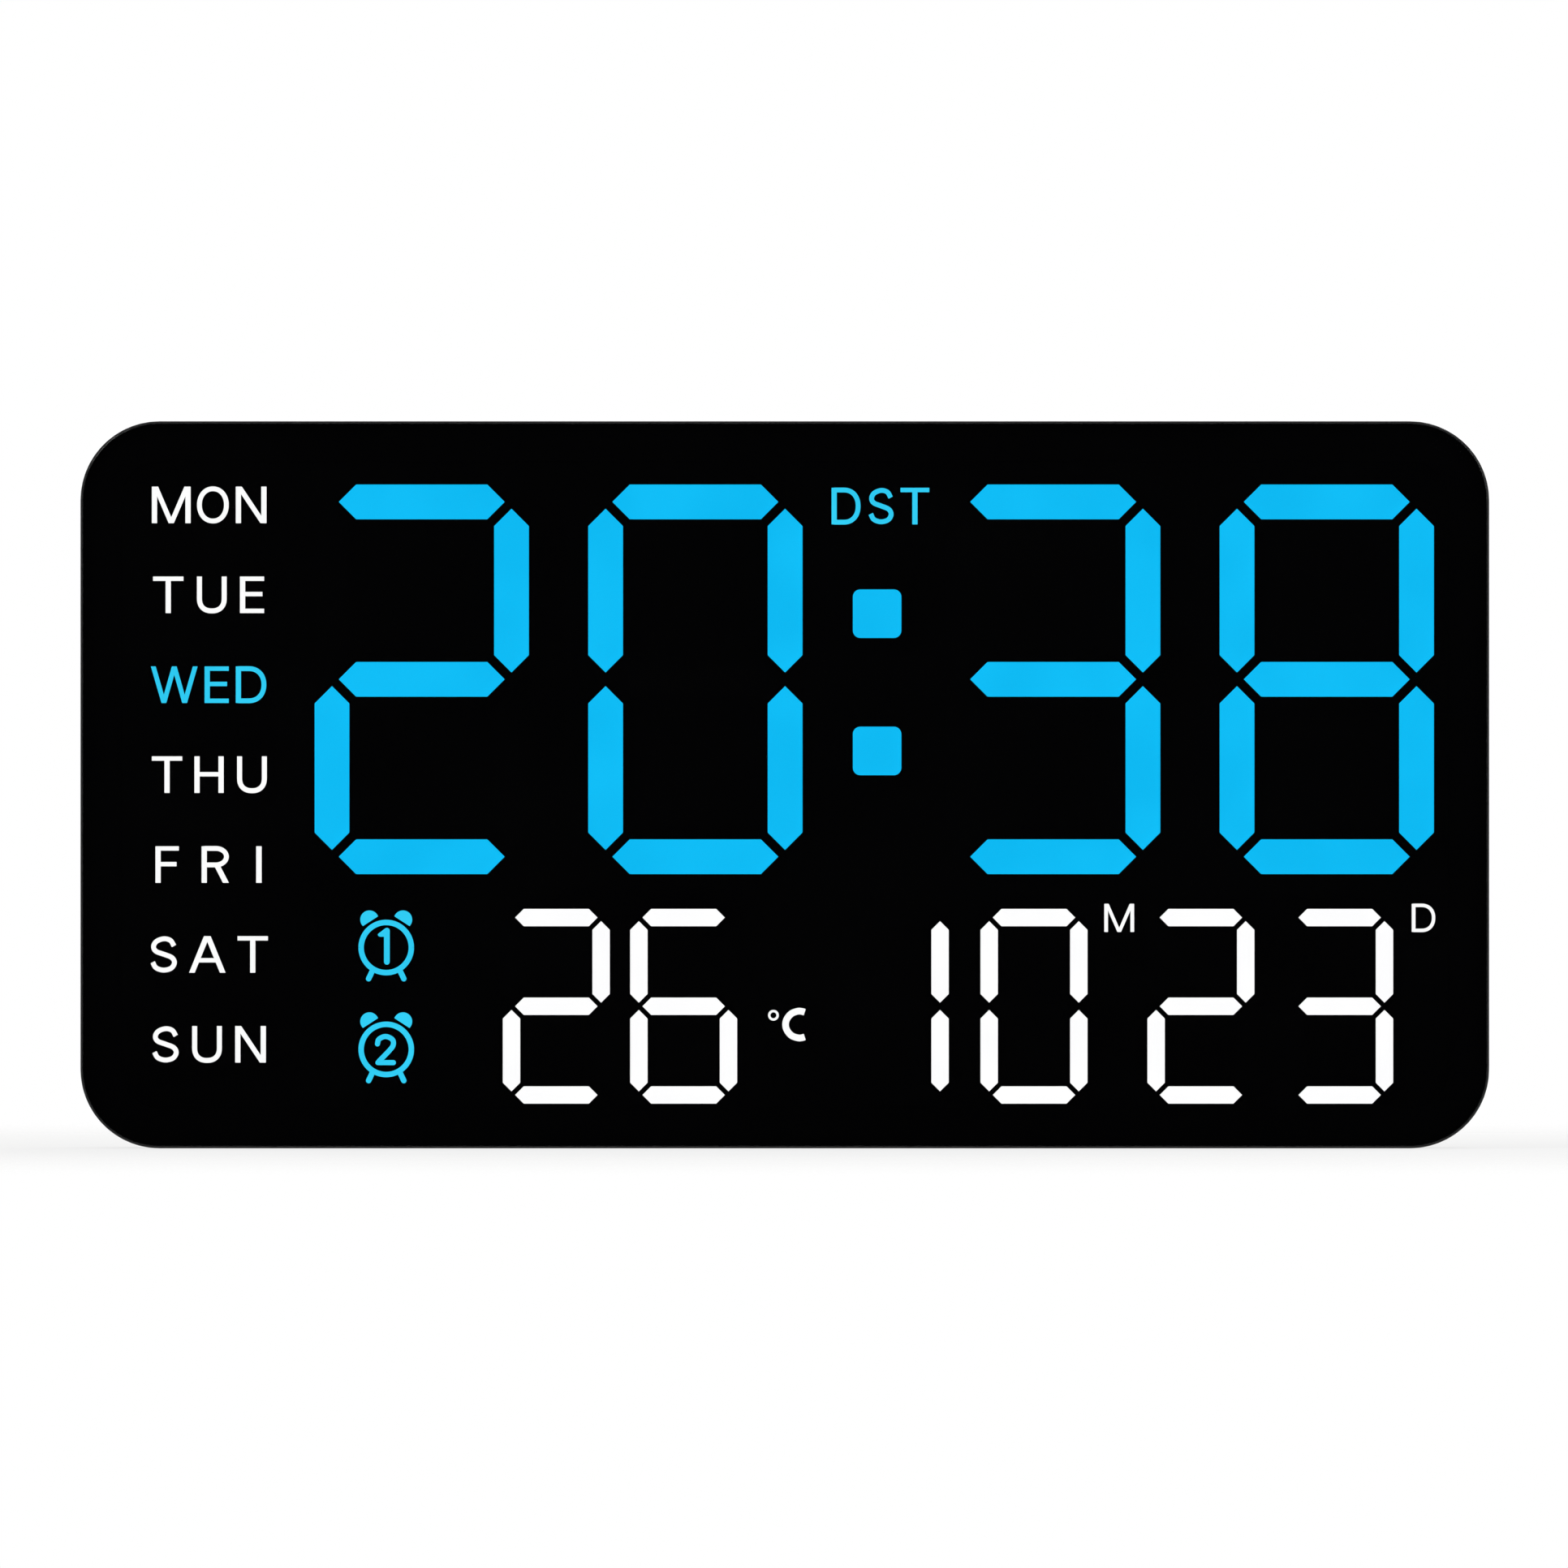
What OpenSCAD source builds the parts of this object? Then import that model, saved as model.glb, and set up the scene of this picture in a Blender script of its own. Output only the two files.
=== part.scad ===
// Large-digit LED clock for a wall or a desk. A smoked lens covers the whole front. Behind it a black mask
// shows the bars of the digits, which sit in a reflector block on the circuit board. The back carries two
// keyholes, a fold-out leg, four buttons, a power inlet and a screwed battery hatch.
// Millimetres. The origin is on the wall, midway between the keyholes. Seen from the front, +X is right and
// +Z is up.

/* [Time digits] */
// Digits of the time shown, hours then minutes
shown_time = [2, 0, 3, 8]; // [0:1:9]
// Width of a time digit over its outer bars
digit_w = 35.75; // [30:0.05:45]
// Height of a time digit over its outer bars
digit_h = 65; // [55:0.5:80]
// Thickness of a bar of a time digit
digit_stroke = 5.8; // [4:0.1:8]
// Distance from a bar's pointed end to the crossing of the bars' centre lines
digit_tip_gap = 1.13; // [1:0.01:2]
// Gap between the two digits of a pair
digit_gap = 9.9; // [6:0.1:16]
// Side of a colon dot
colon_size = 8.1; // [5:0.1:10]
// Corner radius of a colon dot
colon_corner = 1.25; // [0.5:0.05:2.2]
// Distance between the centres of the colon dots
colon_pitch = 22.9; // [14:0.1:30]
// How far the colon hangs below the middle of the digits
colon_drop = 0.5; // [0:0.1:3]
// Gap from the hours to the colon
colon_gap_left = 8.4; // [6:0.1:14]
// Gap from the colon to the minutes
colon_gap_right = 7.45; // [6:0.05:14]

/* [Small digits] */
// Digits of the temperature shown
shown_temperature = [2, 6]; // [0:1:9]
// Digits of the date shown, month then day
shown_date = [1, 0, 2, 3]; // [0:1:9]
// Width of a small digit over its outer bars
small_w = 17.85; // [15:0.05:22]
// Height of a small digit over its outer bars
small_h = 32.5; // [27:0.5:40]
// Thickness of a bar of a small digit
small_stroke = 2.9; // [2.4:0.1:4]
// Distance from a small bar's pointed end to the crossing of the bars' centre lines
small_tip_gap = 0.6; // [0.5:0.01:1.2]
// From the left of the time to the left of the temperature
temperature_indent = 31.4; // [20:0.1:45]
// Gap between the digits of the temperature
temperature_gap = 3.4; // [2.4:0.1:8]
// Room for the degree mark between the temperature and the date
unit_room = 17.1; // [13:0.1:30]
// Gap between the two digits of the month, and of the day
date_gap = 5.3; // [2.4:0.1:9]
// Gap between the month and the day, which holds the month mark
date_pair_gap = 10; // [8:0.1:16]
// From the right of the day to the right of the time, which holds the day mark
date_inset = 6.8; // [5:0.1:14]

/* [Face] */
// Left margin, from the edge of the face to the weekday names
margin_left = 11.45; // [9:0.05:20]
// Width of the column of weekday names
label_w = 19.9; // [14:0.1:28]
// Gap from the weekday names to the time
label_gap = 7.7; // [5:0.1:14]
// Height of a weekday's light box
label_h = 8.4; // [6:0.1:11]
// Distance from one weekday to the next
label_pitch = 15; // [12.5:0.05:16.5]
// Width of the light box behind an alarm sign
icon_w = 11; // [9:0.1:13]
// Height of the light box behind an alarm sign
icon_h = 12.4; // [10:0.1:15]
// Distance from one alarm sign to the next
icon_pitch = 16.9; // [14:0.1:18]
// From the left of the time to the middle of the alarm signs
icon_indent = 11.95; // [7:0.05:18]
// Width of the light box behind the summer-time word
summer_w = 17.4; // [12:0.1:18]
// Width of the light box behind the degree mark
unit_w = 9; // [7:0.1:11]
// Height of the light box behind the degree mark
unit_h = 8; // [6:0.1:12]
// How far the degree mark hangs below the middle of the small digits
unit_drop = 3; // [0:0.1:6]
// Side of the light box behind a month or day mark
mark_side = 6.4; // [5:0.1:7]
// How far the month and day marks stand above the small digits
mark_rise = 1.6; // [0:0.1:2]
// Right margin, from the time to the edge of the face
margin_right = 9.2; // [8.5:0.1:20]
// Top margin, from the edge of the face to the time
margin_top = 10.55; // [9.5:0.05:20]
// Gap between the time and the small digits
row_gap = 5.8; // [4.5:0.1:10]
// Bottom margin, from the small digits to the edge of the face
margin_bottom = 7.45; // [7.2:0.05:18]
// Corner radius of the face
corner_r = 13.2; // [11:0.1:18]

/* [Display stack] */
// Thickness of the front lens
lens_t = 2; // [1.5:0.1:4]
// Rounding of the lens's front edge
lens_round = 0.6; // [0.3:0.1:1.2]
// Thickness of the tape that holds the lens
tape_t = 0.5; // [0.4:0.05:1]
// Distance of the tape from the edge of the face
tape_inset = 1; // [0.5:0.1:1.6]
// Thickness of the black mask with the bars' windows
mask_t = 0.3; // [0.15:0.05:0.35]
// Depth of the reflector block
reflector_t = 8; // [6:0.5:14]
// Depth of the light bars set into the reflector
bar_t = 2; // [1:0.1:3.5]
// How far a light bar reaches under the edge of its window
bar_rim = 0.15; // [0.1:0.05:0.2]
// Width of the ledge that a light bar sits on
bar_ledge = 0.5; // [0.3:0.05:0.8]
// Thickness of the circuit board
board_t = 1.6; // [1:0.1:2.4]
// Free depth between the board and the back wall
back_room = 13.7; // [12.8:0.1:20]

/* [Case] */
// Wall thickness of the case
wall = 2.2; // [1.8:0.1:3]
// Depth of the rear cover, from the wall to the seam
cover_depth = 9.5; // [8.5:0.1:12]
// Rounding of the back edge
back_round = 3; // [1:0.1:5]
// Rounding of the frame's edge along the seam
seam_round = 0.5; // [0.2:0.1:0.9]
// From the edge of the face to the frame's opening for the display
border = 6.4; // [5.5:0.1:6.7]
// Thickness of the frame's lip round that opening
lip_t = 1.5; // [1:0.1:3]
// Thickness of the reflector's rim behind the lip
rim_t = 2; // [1:0.1:3.5]
// How far the cover's tongue reaches into the frame
tongue_h = 2; // [1:0.1:4]
// Diameter of a screw post in the frame
post_d = 6; // [5:0.1:7]
// Diameter of a screw boss in the cover
boss_d = 8; // [7.4:0.1:9]
// Thickness of the seat under a case screw's head
screw_seat = 2; // [1.2:0.1:3]
// Distance of the upper screws from the middle
upper_screw_x = 40; // [30:1:60]
// Diameter of the posts in the cover that press on the board
press_post_d = 5; // [3:0.1:7]
// Gap between the leg's pocket and the lower pair of these posts
press_gap = 5; // [4.5:0.1:8]
// Height of the lower pair of these posts below the middle of the face
press_drop = 16; // [8:0.5:22]
// Thickness of the cover's inner walls round its pockets
inner_wall = 1.5; // [1.2:0.1:2]
// Rounding of the outer edges of the buttons, the leg and the hatch
edge_round = 0.5; // [0.2:0.1:0.8]

/* [Screws] */
// Shank diameter of a case screw
case_screw_d = 2.6; // [2:0.1:3]
// Shank length of a case screw
case_screw_l = 10; // [7:0.5:13]
// Head diameter of a case screw
case_head_d = 5; // [4:0.1:5.2]
// Head height of a case screw
case_head_h = 1.8; // [1:0.1:2.5]
// Shank diameter of a board or hatch screw
small_screw_d = 2; // [1.6:0.1:2.4]
// Shank length of a board or hatch screw, through the plate and into its hole
small_screw_l = 6; // [4:0.5:7]
// Head diameter of a board or hatch screw
small_head_d = 3.8; // [3:0.1:4.4]
// Head height of a board or hatch screw
small_head_h = 1.3; // [0.8:0.1:1.4]
// Width of the cross in a screw's head
cross_w = 0.8; // [0.5:0.1:1]
// Rounding of a screw's head
head_round = 0.6; // [0.3:0.1:0.7]

/* [Hanging] */
// Distance between the two keyholes
hang_span = 160; // [120:1:180]
// From the top edge to the centre of a keyhole's entry
hang_drop = 25; // [20:0.5:34]
// Diameter of a keyhole's entry, for the head of the wall screw
keyhole_d = 9; // [7:0.1:11]
// Width of a keyhole's slot, for the shank of the wall screw
keyhole_slot_w = 4.6; // [3.5:0.1:5.5]
// From the entry's centre up to the centre of the slot's round end
keyhole_rise = 8; // [6:0.1:12]
// Depth of the space behind a keyhole's wall
keyhole_pocket = 5.5; // [4:0.1:8]

/* [Leg] */
// Width of the leg
leg_w = 60; // [40:1:64]
// Length of the leg from its hinge to its foot
leg_l = 58.5; // [40:0.5:62]
// Height of the leg's foot above the bottom edge of the face
leg_foot_gap = 4; // [3.6:0.1:10]
// Thickness of the leg's outer skin
leg_skin = 2; // [1.2:0.1:3]
// Corner radius of the leg
leg_corner = 2; // [1:0.1:4]
// Width of the ribs on the leg's inside
leg_rib_w = 1.8; // [1.2:0.1:3]
// Ribs across the leg's inside, between those at its sides
leg_ribs = 3; // [0:1:6]
// Depth of the leg over its ribs
leg_depth = 5.4; // [4:0.1:6]
// Radius of the barrel round the leg's hinge
leg_barrel_r = 3; // [2.6:0.1:3.6]
// Diameter of the leg's hinge pins
hinge_d = 4; // [3:0.1:4.6]
// Length of a hinge pin outside the leg
hinge_l = 2.4; // [1.5:0.1:4]
// Length of the heel above the hinge that stops the leg
heel_l = 5; // [3.5:0.1:6]
// Opening angle of the leg at its stop
leg_open = 28; // [20:1:32]
// Radius of the finger notch in the leg's foot
notch_r = 9; // [7:0.1:12]

/* [Buttons] */
// Width of a button
button_w = 10; // [8:0.1:14]
// Height of a button
button_h = 6; // [4.5:0.1:8]
// Distance from one button to the next
button_pitch = 15; // [12.5:0.1:18]
// From the side edge of the face to the column of buttons
button_inset = 22; // [17:0.5:30]
// Depth of the recess that the buttons stand in
button_recess = 1.8; // [1.2:0.1:2.4]
// How far a button stands out of its recess
button_rise = 1.3; // [0.8:0.1:1.6]
// How far a button travels
button_travel = 0.5; // [0.2:0.05:1]
// Width of the flange that keeps a button in
button_flange = 1.2; // [0.8:0.1:2]
// Thickness of that flange
button_flange_t = 1.2; // [0.8:0.1:2]
// Diameter of a button's stem
button_stem_d = 4; // [3:0.1:5]
// Side of a push switch
switch_side = 6; // [4.5:0.1:7]
// Height of a push switch's body
switch_h = 3.5; // [3:0.1:5]
// Height of a push switch over its plunger
switch_reach = 7.9; // [6.5:0.1:8.4]
// Diameter of a push switch's plunger
plunger_d = 3.4; // [2.5:0.1:4]
// Length of the plunger inside the switch's body
plunger_root = 1; // [0.6:0.1:1.4]
// Margin of the buttons' recess round the buttons
button_margin = 2; // [1.4:0.1:3]
// Corner radius of the buttons' recess
button_corner = 3; // [1:0.1:4]

/* [Power inlet] */
// Width of the inlet's metal shell
inlet_w = 8.94; // [8.9:0.01:9]
// Height of the inlet's metal shell
inlet_h = 3.26; // [3.2:0.01:3.3]
// Thickness of the inlet's metal shell
inlet_shell = 0.3; // [0.25:0.05:0.4]
// Width of the inlet's tongue
inlet_tongue_w = 6.6; // [6:0.1:7]
// Thickness of the inlet's tongue
inlet_tongue_t = 0.7; // [0.6:0.05:0.9]
// How far the tongue's end lies behind the inlet's mouth
inlet_tongue_back = 0.9; // [0.5:0.1:2]
// How deep a plug goes into the inlet
plug_depth = 6.2; // [5.5:0.1:6.8]
// Width of the well that the plug lies in
well_w = 22; // [16:0.5:26]
// Height of the well that the plug lies in
well_h = 15; // [11:0.5:18]
// Depth of that well
well_depth = 7; // [6:0.1:7.6]
// Corner radius of that well
well_corner = 2.5; // [1:0.1:4]
// From the side edge of the face to the middle of the well
well_inset = 58; // [54:0.5:64]
// From the bottom edge of the face to the middle of the well
well_lift = 25; // [18:0.5:32]
// Width of the channel from the well to the bottom edge
channel_w = 6; // [5:0.1:8]
// Depth of that channel
channel_depth = 5; // [4.4:0.1:6]

/* [Battery hatch] */
// Width of the hatch
hatch_w = 30; // [28:0.5:36]
// Height of the hatch
hatch_h = 38; // [36.5:0.5:44]
// Thickness of the hatch
hatch_t = 2.1; // [1.8:0.1:3]
// Corner radius of the hatch
hatch_corner = 4; // [2:0.1:6]
// Side of the shaft under the hatch
shaft_side = 26; // [24:0.1:27]
// Depth of the shaft from the back
shaft_depth = 9.8; // [8:0.1:10]
// From the side edge of the face to the middle of the hatch
hatch_inset = 45; // [36:0.5:55]
// From the bottom edge of the face to the lower edge of the hatch
hatch_lift = 24; // [16:0.5:34]
// Diameter of the coin cell
cell_d = 20; // [16:0.1:20]
// Thickness of the coin cell
cell_t = 3.2; // [2:0.1:3.2]
// Height of the coin cell's smaller pole
cell_step = 0.8; // [0.3:0.1:1.2]
// Rim of the coin cell round its smaller pole
cell_rim = 1.2; // [0.8:0.1:2]
// Thickness of the cell holder's floor
holder_floor = 0.8; // [0.6:0.1:1.2]
// Thickness of the cell holder's wall
holder_wall = 1.3; // [1:0.1:1.6]
// Width of the gap in the cell holder's wall
holder_gap = 8; // [6:0.5:12]
// Thickness of the clip over the cell
clip_t = 0.4; // [0.3:0.05:0.6]
// Width of the clip over the cell
clip_w = 5; // [3:0.1:8]

/* [Board parts] */
// Side of an LED
led_side = 2; // [1.2:0.1:2]
// Height of an LED
led_h = 0.8; // [0.5:0.1:1.2]
// Diameter of the buzzer
buzzer_d = 12; // [9:0.5:14]
// Height of the buzzer
buzzer_h = 8.5; // [5:0.1:9.5]
// Diameter of the storage capacitor
capacitor_d = 6.3; // [5:0.1:8]
// Height of the storage capacitor
capacitor_h = 7.7; // [5:0.1:9]
// Leads on each long side of the controller chip
controller_leads = 14; // [10:1:18]
// Width of the controller chip's body
controller_w = 7.5; // [5:0.1:8]
// Height of the controller chip's body
controller_h = 2.4; // [1.5:0.1:3]
// Leads on each long side of a driver chip
driver_leads = 8; // [6:1:10]
// Width of a driver chip's body
driver_w = 4; // [3.5:0.1:6]
// Height of a driver chip's body
driver_h = 1.8; // [1.4:0.1:2.6]
// Gap between the leg's pocket and the driver chips
driver_gap = 14; // [11:0.5:16]
// Distance from one lead to the next
lead_pitch = 1.27; // [1:0.01:1.3]
// Width of a lead
lead_w = 0.4; // [0.2:0.05:0.6]
// Length of a lead
lead_l = 1.4; // [0.8:0.1:2]
// Height of a lead
lead_h = 0.8; // [0.4:0.1:1.2]
// Diameter of the crystal's can
crystal_d = 2.1; // [1.5:0.1:3]
// Length of the crystal's can
crystal_l = 6; // [4:0.1:9]
// Gap between the controller chip and the crystal
crystal_gap = 8; // [3:0.5:10]
// Diameter of the buzzer's sound hole
buzzer_hole_d = 2.4; // [1:0.1:4]
// Depth of the buzzer's sound hole
buzzer_hole_l = 2; // [1:0.1:4]
// Diameter of the temperature sensor's bead
bead_d = 3; // [2:0.1:4]
// Distance from the board to the middle of the bead
bead_reach = 9.7; // [5:0.1:10.5]
// Diameter of the sensor's leads
bead_lead_d = 0.5; // [0.3:0.05:0.6]
// Distance between the sensor's leads
bead_lead_gap = 1.6; // [1:0.1:1.8]
// Length of a vent slot
vent_l = 12; // [8:0.5:18]
// Width of a vent slot
vent_w = 1.6; // [1:0.1:2]
// Distance from one vent slot to the next
vent_pitch = 4; // [3:0.1:5]

/* [Fits] */
// Gap between fixed pieces that fit into each other
fit = 0.15; // [0.1:0.05:0.3]
// Gap round the buttons, the leg and the hatch
moving_gap = 0.3; // [0.2:0.05:0.4]
// Gap round a hinge pin
hinge_fit = 0.06; // [0.03:0.01:0.09]
// Gap round a screw's shank
screw_fit = 0.05; // [0.03:0.01:0.1]

/* [Hidden] */
$fn = 64;
// How far a cut reaches past the faces that it opens
cut = 1;

// Colours of the pieces
BLACK = [0.03, 0.03, 0.035];
DARK = [0.09, 0.09, 0.1];
SMOKE = [0.04, 0.04, 0.05, 0.35];
BLUE = [0.05, 0.74, 0.96];
WHITE = [0.97, 0.97, 0.97];
MILK = [0.85, 0.85, 0.84];
BOARD = [0.05, 0.25, 0.12];
STEEL = [0.72, 0.72, 0.74];

// Sizes of the face, set by what it shows
small_row_w = temperature_indent + 6 * small_w + temperature_gap + unit_room + 2 * date_gap
    + date_pair_gap + date_inset;
time_row_w = 4 * digit_w + 2 * digit_gap + colon_gap_left + colon_size + colon_gap_right;
shown_w = max(time_row_w, small_row_w);
shown_h = max(digit_h + row_gap + small_h, 6 * label_pitch + label_h);
face_w = margin_left + label_w + label_gap + shown_w + margin_right;
face_h = margin_top + shown_h + margin_bottom;

// Distances from the wall
board_back = wall + back_room;
board_front = board_back + board_t;
reflector_front = board_front + reflector_t;
lens_back = reflector_front + tape_t;
depth = lens_back + lens_t;

// Places on the face
face_left = -face_w / 2;
face_top = face_h / 2;
label_x = face_left + margin_left;
time_x = label_x + label_w + label_gap;
time_top = face_top - margin_top;
small_top = time_top - digit_h - row_gap;
minutes_x = time_x + 2 * digit_w + digit_gap + colon_gap_left + colon_size + colon_gap_right;
colon_x = time_x + 2 * digit_w + digit_gap + colon_gap_left + colon_size / 2;
colon_y = time_top - digit_h / 2 - colon_drop;
date_right = face_w / 2 - margin_right - date_inset;
day_x = date_right - 2 * small_w - date_gap;
month_x = day_x - date_pair_gap - 2 * small_w - date_gap;
temperature_x = time_x + temperature_indent;
temperature_right = temperature_x + 2 * small_w + temperature_gap;

// A digit is [left, top, width, height, stroke, tip gap, value]
function pair(x, gap, top, size, values) =
    [for (i = [0, 1]) concat([x + i * (size[0] + gap), top], size, [values[i]])];
TIME_SIZE = [digit_w, digit_h, digit_stroke, digit_tip_gap];
SMALL_SIZE = [small_w, small_h, small_stroke, small_tip_gap];
TIME_DIGITS = concat(pair(time_x, digit_gap, time_top, TIME_SIZE, [shown_time[0], shown_time[1]]),
                     pair(minutes_x, digit_gap, time_top, TIME_SIZE, [shown_time[2], shown_time[3]]));
SMALL_DIGITS = concat(pair(temperature_x, temperature_gap, small_top, SMALL_SIZE, shown_temperature),
                      pair(month_x, date_gap, small_top, SMALL_SIZE, [shown_date[0], shown_date[1]]),
                      pair(day_x, date_gap, small_top, SMALL_SIZE, [shown_date[2], shown_date[3]]));

// Bars of each numeral, named a to g clockwise from the top with g in the middle
NUMERALS = ["abcdef", "bc", "abdeg", "abcdg", "bcfg", "acdfg", "acdefg", "abc", "abcdefg", "abcdfg"];
// Each bar is [name, columns from the middle, rows from the middle, upright]
BARS = [["a", 0, 2, false], ["b", 1, 1, true], ["c", 1, -1, true], ["d", 0, -2, false],
        ["e", -1, -1, true], ["f", -1, 1, true], ["g", 0, 0, false]];
function is_lit(digit, bar) = len(search(bar[0], NUMERALS[digit[6]])) > 0;
function column(digit) = (digit[2] - digit[4]) / 2;
function row(digit) = (digit[3] - digit[4]) / 4;
function middle(digit) = [digit[0] + digit[2] / 2, digit[1] - digit[3] / 2];

// Light boxes of the words and signs: [centre x, centre y, width, height]
mark_y = small_top + mark_rise - mark_side / 2;
word_y = time_top - digit_stroke / 2;
unit_y = small_top - small_h / 2 - unit_drop;
weekday_x = label_x + label_w / 2;
weekday_w = label_w + 2 * bar_ledge;
icon_y = small_top - icon_h / 2;
WEEKDAY_BOXES = [for (i = [0:6]) [weekday_x, word_y - i * label_pitch, weekday_w, label_h]];
ICON_BOXES = [for (i = [0, 1]) [time_x + icon_indent, icon_y - i * icon_pitch, icon_w, icon_h]];
MARK_BOXES = [[colon_x, word_y, summer_w, label_h],
              [temperature_right + unit_room / 2, unit_y, unit_w, unit_h],
              [day_x - date_pair_gap / 2, mark_y, mark_side, mark_side],
              [(date_right + face_w / 2 - border) / 2, mark_y, mark_side, mark_side]];
LIGHT_BOXES = concat(WEEKDAY_BOXES, ICON_BOXES, MARK_BOXES);

// Screw posts: four in the corners, two at the top
post_sink = wall / 5;
post_step = (corner_r - wall - post_d / 2 + post_sink) / sqrt(2);
post_x = face_w / 2 - corner_r + post_step;
post_y = face_h / 2 - corner_r + post_step;
upper_post_y = face_top - wall - post_d / 2 + post_sink;
CASE_SCREWS = concat([for (sx = [-1, 1], sy = [-1, 1]) [sx * post_x, sy * post_y]],
                     [for (sx = [-1, 1]) [sx * upper_screw_x, upper_post_y]]);
// Board screws in the open loops of the first and last time digits
BOARD_SCREWS = [for (d = [TIME_DIGITS[0], TIME_DIGITS[3]], s = [-1, 1]) middle(d) + [0, s * row(d)]];

// Places on the back
hang_y = face_top - hang_drop;
hinge_y = -face_top + leg_foot_gap + leg_l;
leg_out = moving_gap;
hinge_in = leg_out + leg_barrel_r;
leg_pocket = hinge_in + leg_barrel_r + 2 * moving_gap;
heel_in = (leg_pocket - hinge_in - moving_gap / 2 - heel_l * sin(leg_open)) / cos(leg_open);
heel_reach = sqrt(pow(heel_l, 2) + pow(leg_barrel_r, 2));
button_x = face_left + button_inset;
BUTTON_YS = [for (i = [0:3]) (1.5 - i) * button_pitch];
button_top = button_recess - button_rise;
button_seat = 2 * button_recess;
plunger_top = board_back - switch_reach;
well_x = face_left + well_inset;
well_y = -face_top + well_lift;
hatch_x = face_w / 2 - hatch_inset;
hatch_y = -face_top + hatch_lift + hatch_h / 2;
shaft_margin = (hatch_w - shaft_side) / 2;
shaft_y = hatch_y - hatch_h / 2 + shaft_margin + shaft_side / 2;
hatch_screw_y = (hatch_y + hatch_h / 2 + shaft_y + shaft_side / 2) / 2;
buzzer_y = hang_y - keyhole_d - buzzer_d;
vent_y = hatch_y + hatch_h / 2 + vent_pitch + vent_l / 2;

// Stands a shape in the clock's frame. It is drawn as (across, up from the face's middle, distance from the
// wall).
module on_wall() { rotate([90, 0, 0]) translate([0, -hang_y, 0]) children(); }

// Rectangle with round corners, centred
module rounded(w, h, r) {
    square([w - 2 * r, h], center = true);
    for (s = [-1, 1]) translate([s * (w - r) / 2, 0]) square([r, h - 2 * r], center = true);
    for (sx = [-1, 1], sy = [-1, 1])
        translate([sx * (w / 2 - r), sy * (h / 2 - r)])
            intersection() {
                circle(r);
                translate([sx * r / 2, sy * r / 2]) square(r, center = true);
            }
}

// Plate with round corners
module plate(w, h, r, t) { linear_extrude(t) rounded(w, h, r); }

// Strip with two half-round ends, centred
module oblong(w, h) {
    square([w - h, h], center = true);
    for (s = [-1, 1])
        translate([s * (w - h) / 2, 0])
            intersection() {
                circle(d = h);
                translate([s * h / 2, 0]) square(h, center = true);
            }
}

// Half section of a slab whose lower outer edge is round
module soft_half(w, t, e) {
    difference() {
        square([w, t]);
        difference() {
            translate([w - e, -e]) square([2 * e, 2 * e]);
            translate([w - e, e]) circle(e);
        }
    }
}

// Slab with round corners of radius r and a lower edge rounded by e. With r = h / 2 it is an oblong
module soft_slab(w, h, r, t, e) {
    for (turn = [0, 180])
        rotate(turn) {
            rotate([90, 0, 90])
                translate([0, 0, r - w / 2])
                    linear_extrude(w - 2 * r) soft_half(h / 2, t, e);
            if (h > 2 * r)
                translate([w / 2 - r, 0, 0])
                    rotate([90, 0, 0])
                        translate([0, 0, r - h / 2])
                            linear_extrude(h - 2 * r) soft_half(r, t, e);
        }
    for (sx = [0, 1], sy = [0, 1])
        mirror([sx, 0, 0])
            mirror([0, sy, 0])
                translate([w / 2 - r, h / 2 - r, 0])
                    rotate_extrude(angle = 90) soft_half(r, t, e);
}

// Outline of the face drawn in by a distance
module face_outline(inset) { rounded(face_w - 2 * inset, face_h - 2 * inset, corner_r - inset); }

// Bar with two pointed ends, grown by m on all sides
module bar_2d(len, t, m) {
    tip = len / 2 + m * sqrt(2);
    half = t / 2 + m;
    polygon([[-tip, 0], [half - tip, half], [tip - half, half],
             [tip, 0], [tip - half, -half], [half - tip, -half]]);
}

// Places the bars of digits in outline, grown by m; show is "lit", "unlit" or "all"
module bars_2d(digits, show, m) {
    for (d = digits, b = BARS)
        if (show == "all" || (show == "lit") == is_lit(d, b))
            translate(middle(d) + [b[1] * column(d), b[2] * row(d)])
                rotate(b[3] ? 90 : 0)
                    bar_2d((b[3] ? 2 * row(d) : 2 * column(d)) - 2 * d[5], d[4], m);
}

module colon_2d(m) {
    for (s = [-1, 1])
        translate([colon_x, colon_y + s * colon_pitch / 2])
            rounded(colon_size + 2 * m, colon_size + 2 * m, colon_corner + m);
}

module light_boxes_2d() {
    for (b = LIGHT_BOXES) translate([b[0], b[1]]) square([b[2], b[3]], center = true);
}

// Lens: a smoked sheet over the whole front, taped to the frame
module front_lens() {
    color(SMOKE) on_wall()
        translate([0, 0, depth]) mirror([0, 0, 1]) soft_slab(face_w, face_h, corner_r, lens_t, lens_round);
}

// Tape: a closed ring between the lens and the frame's lip
module lens_tape() {
    color(DARK) on_wall()
        translate([0, 0, reflector_front])
            linear_extrude(tape_t)
                difference() {
                    face_outline(tape_inset);
                    face_outline(border);
                }
}

// Mask: a black sheet with a window for each bar
module display_mask() {
    color(BLACK) on_wall()
        translate([0, 0, reflector_front])
            linear_extrude(mask_t)
                difference() {
                    face_outline(border + fit);
                    bars_2d(TIME_DIGITS, "all", 0);
                    bars_2d(SMALL_DIGITS, "all", 0);
                    colon_2d(0);
                }
}

module bar_depth() {
    on_wall() translate([0, 0, reflector_front - bar_t]) linear_extrude(bar_t) children();
}

module lit_time_bars() {
    color(BLUE) bar_depth() bars_2d(TIME_DIGITS, "lit", bar_rim);
    color(BLUE) bar_depth() colon_2d(bar_rim);
}

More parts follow.
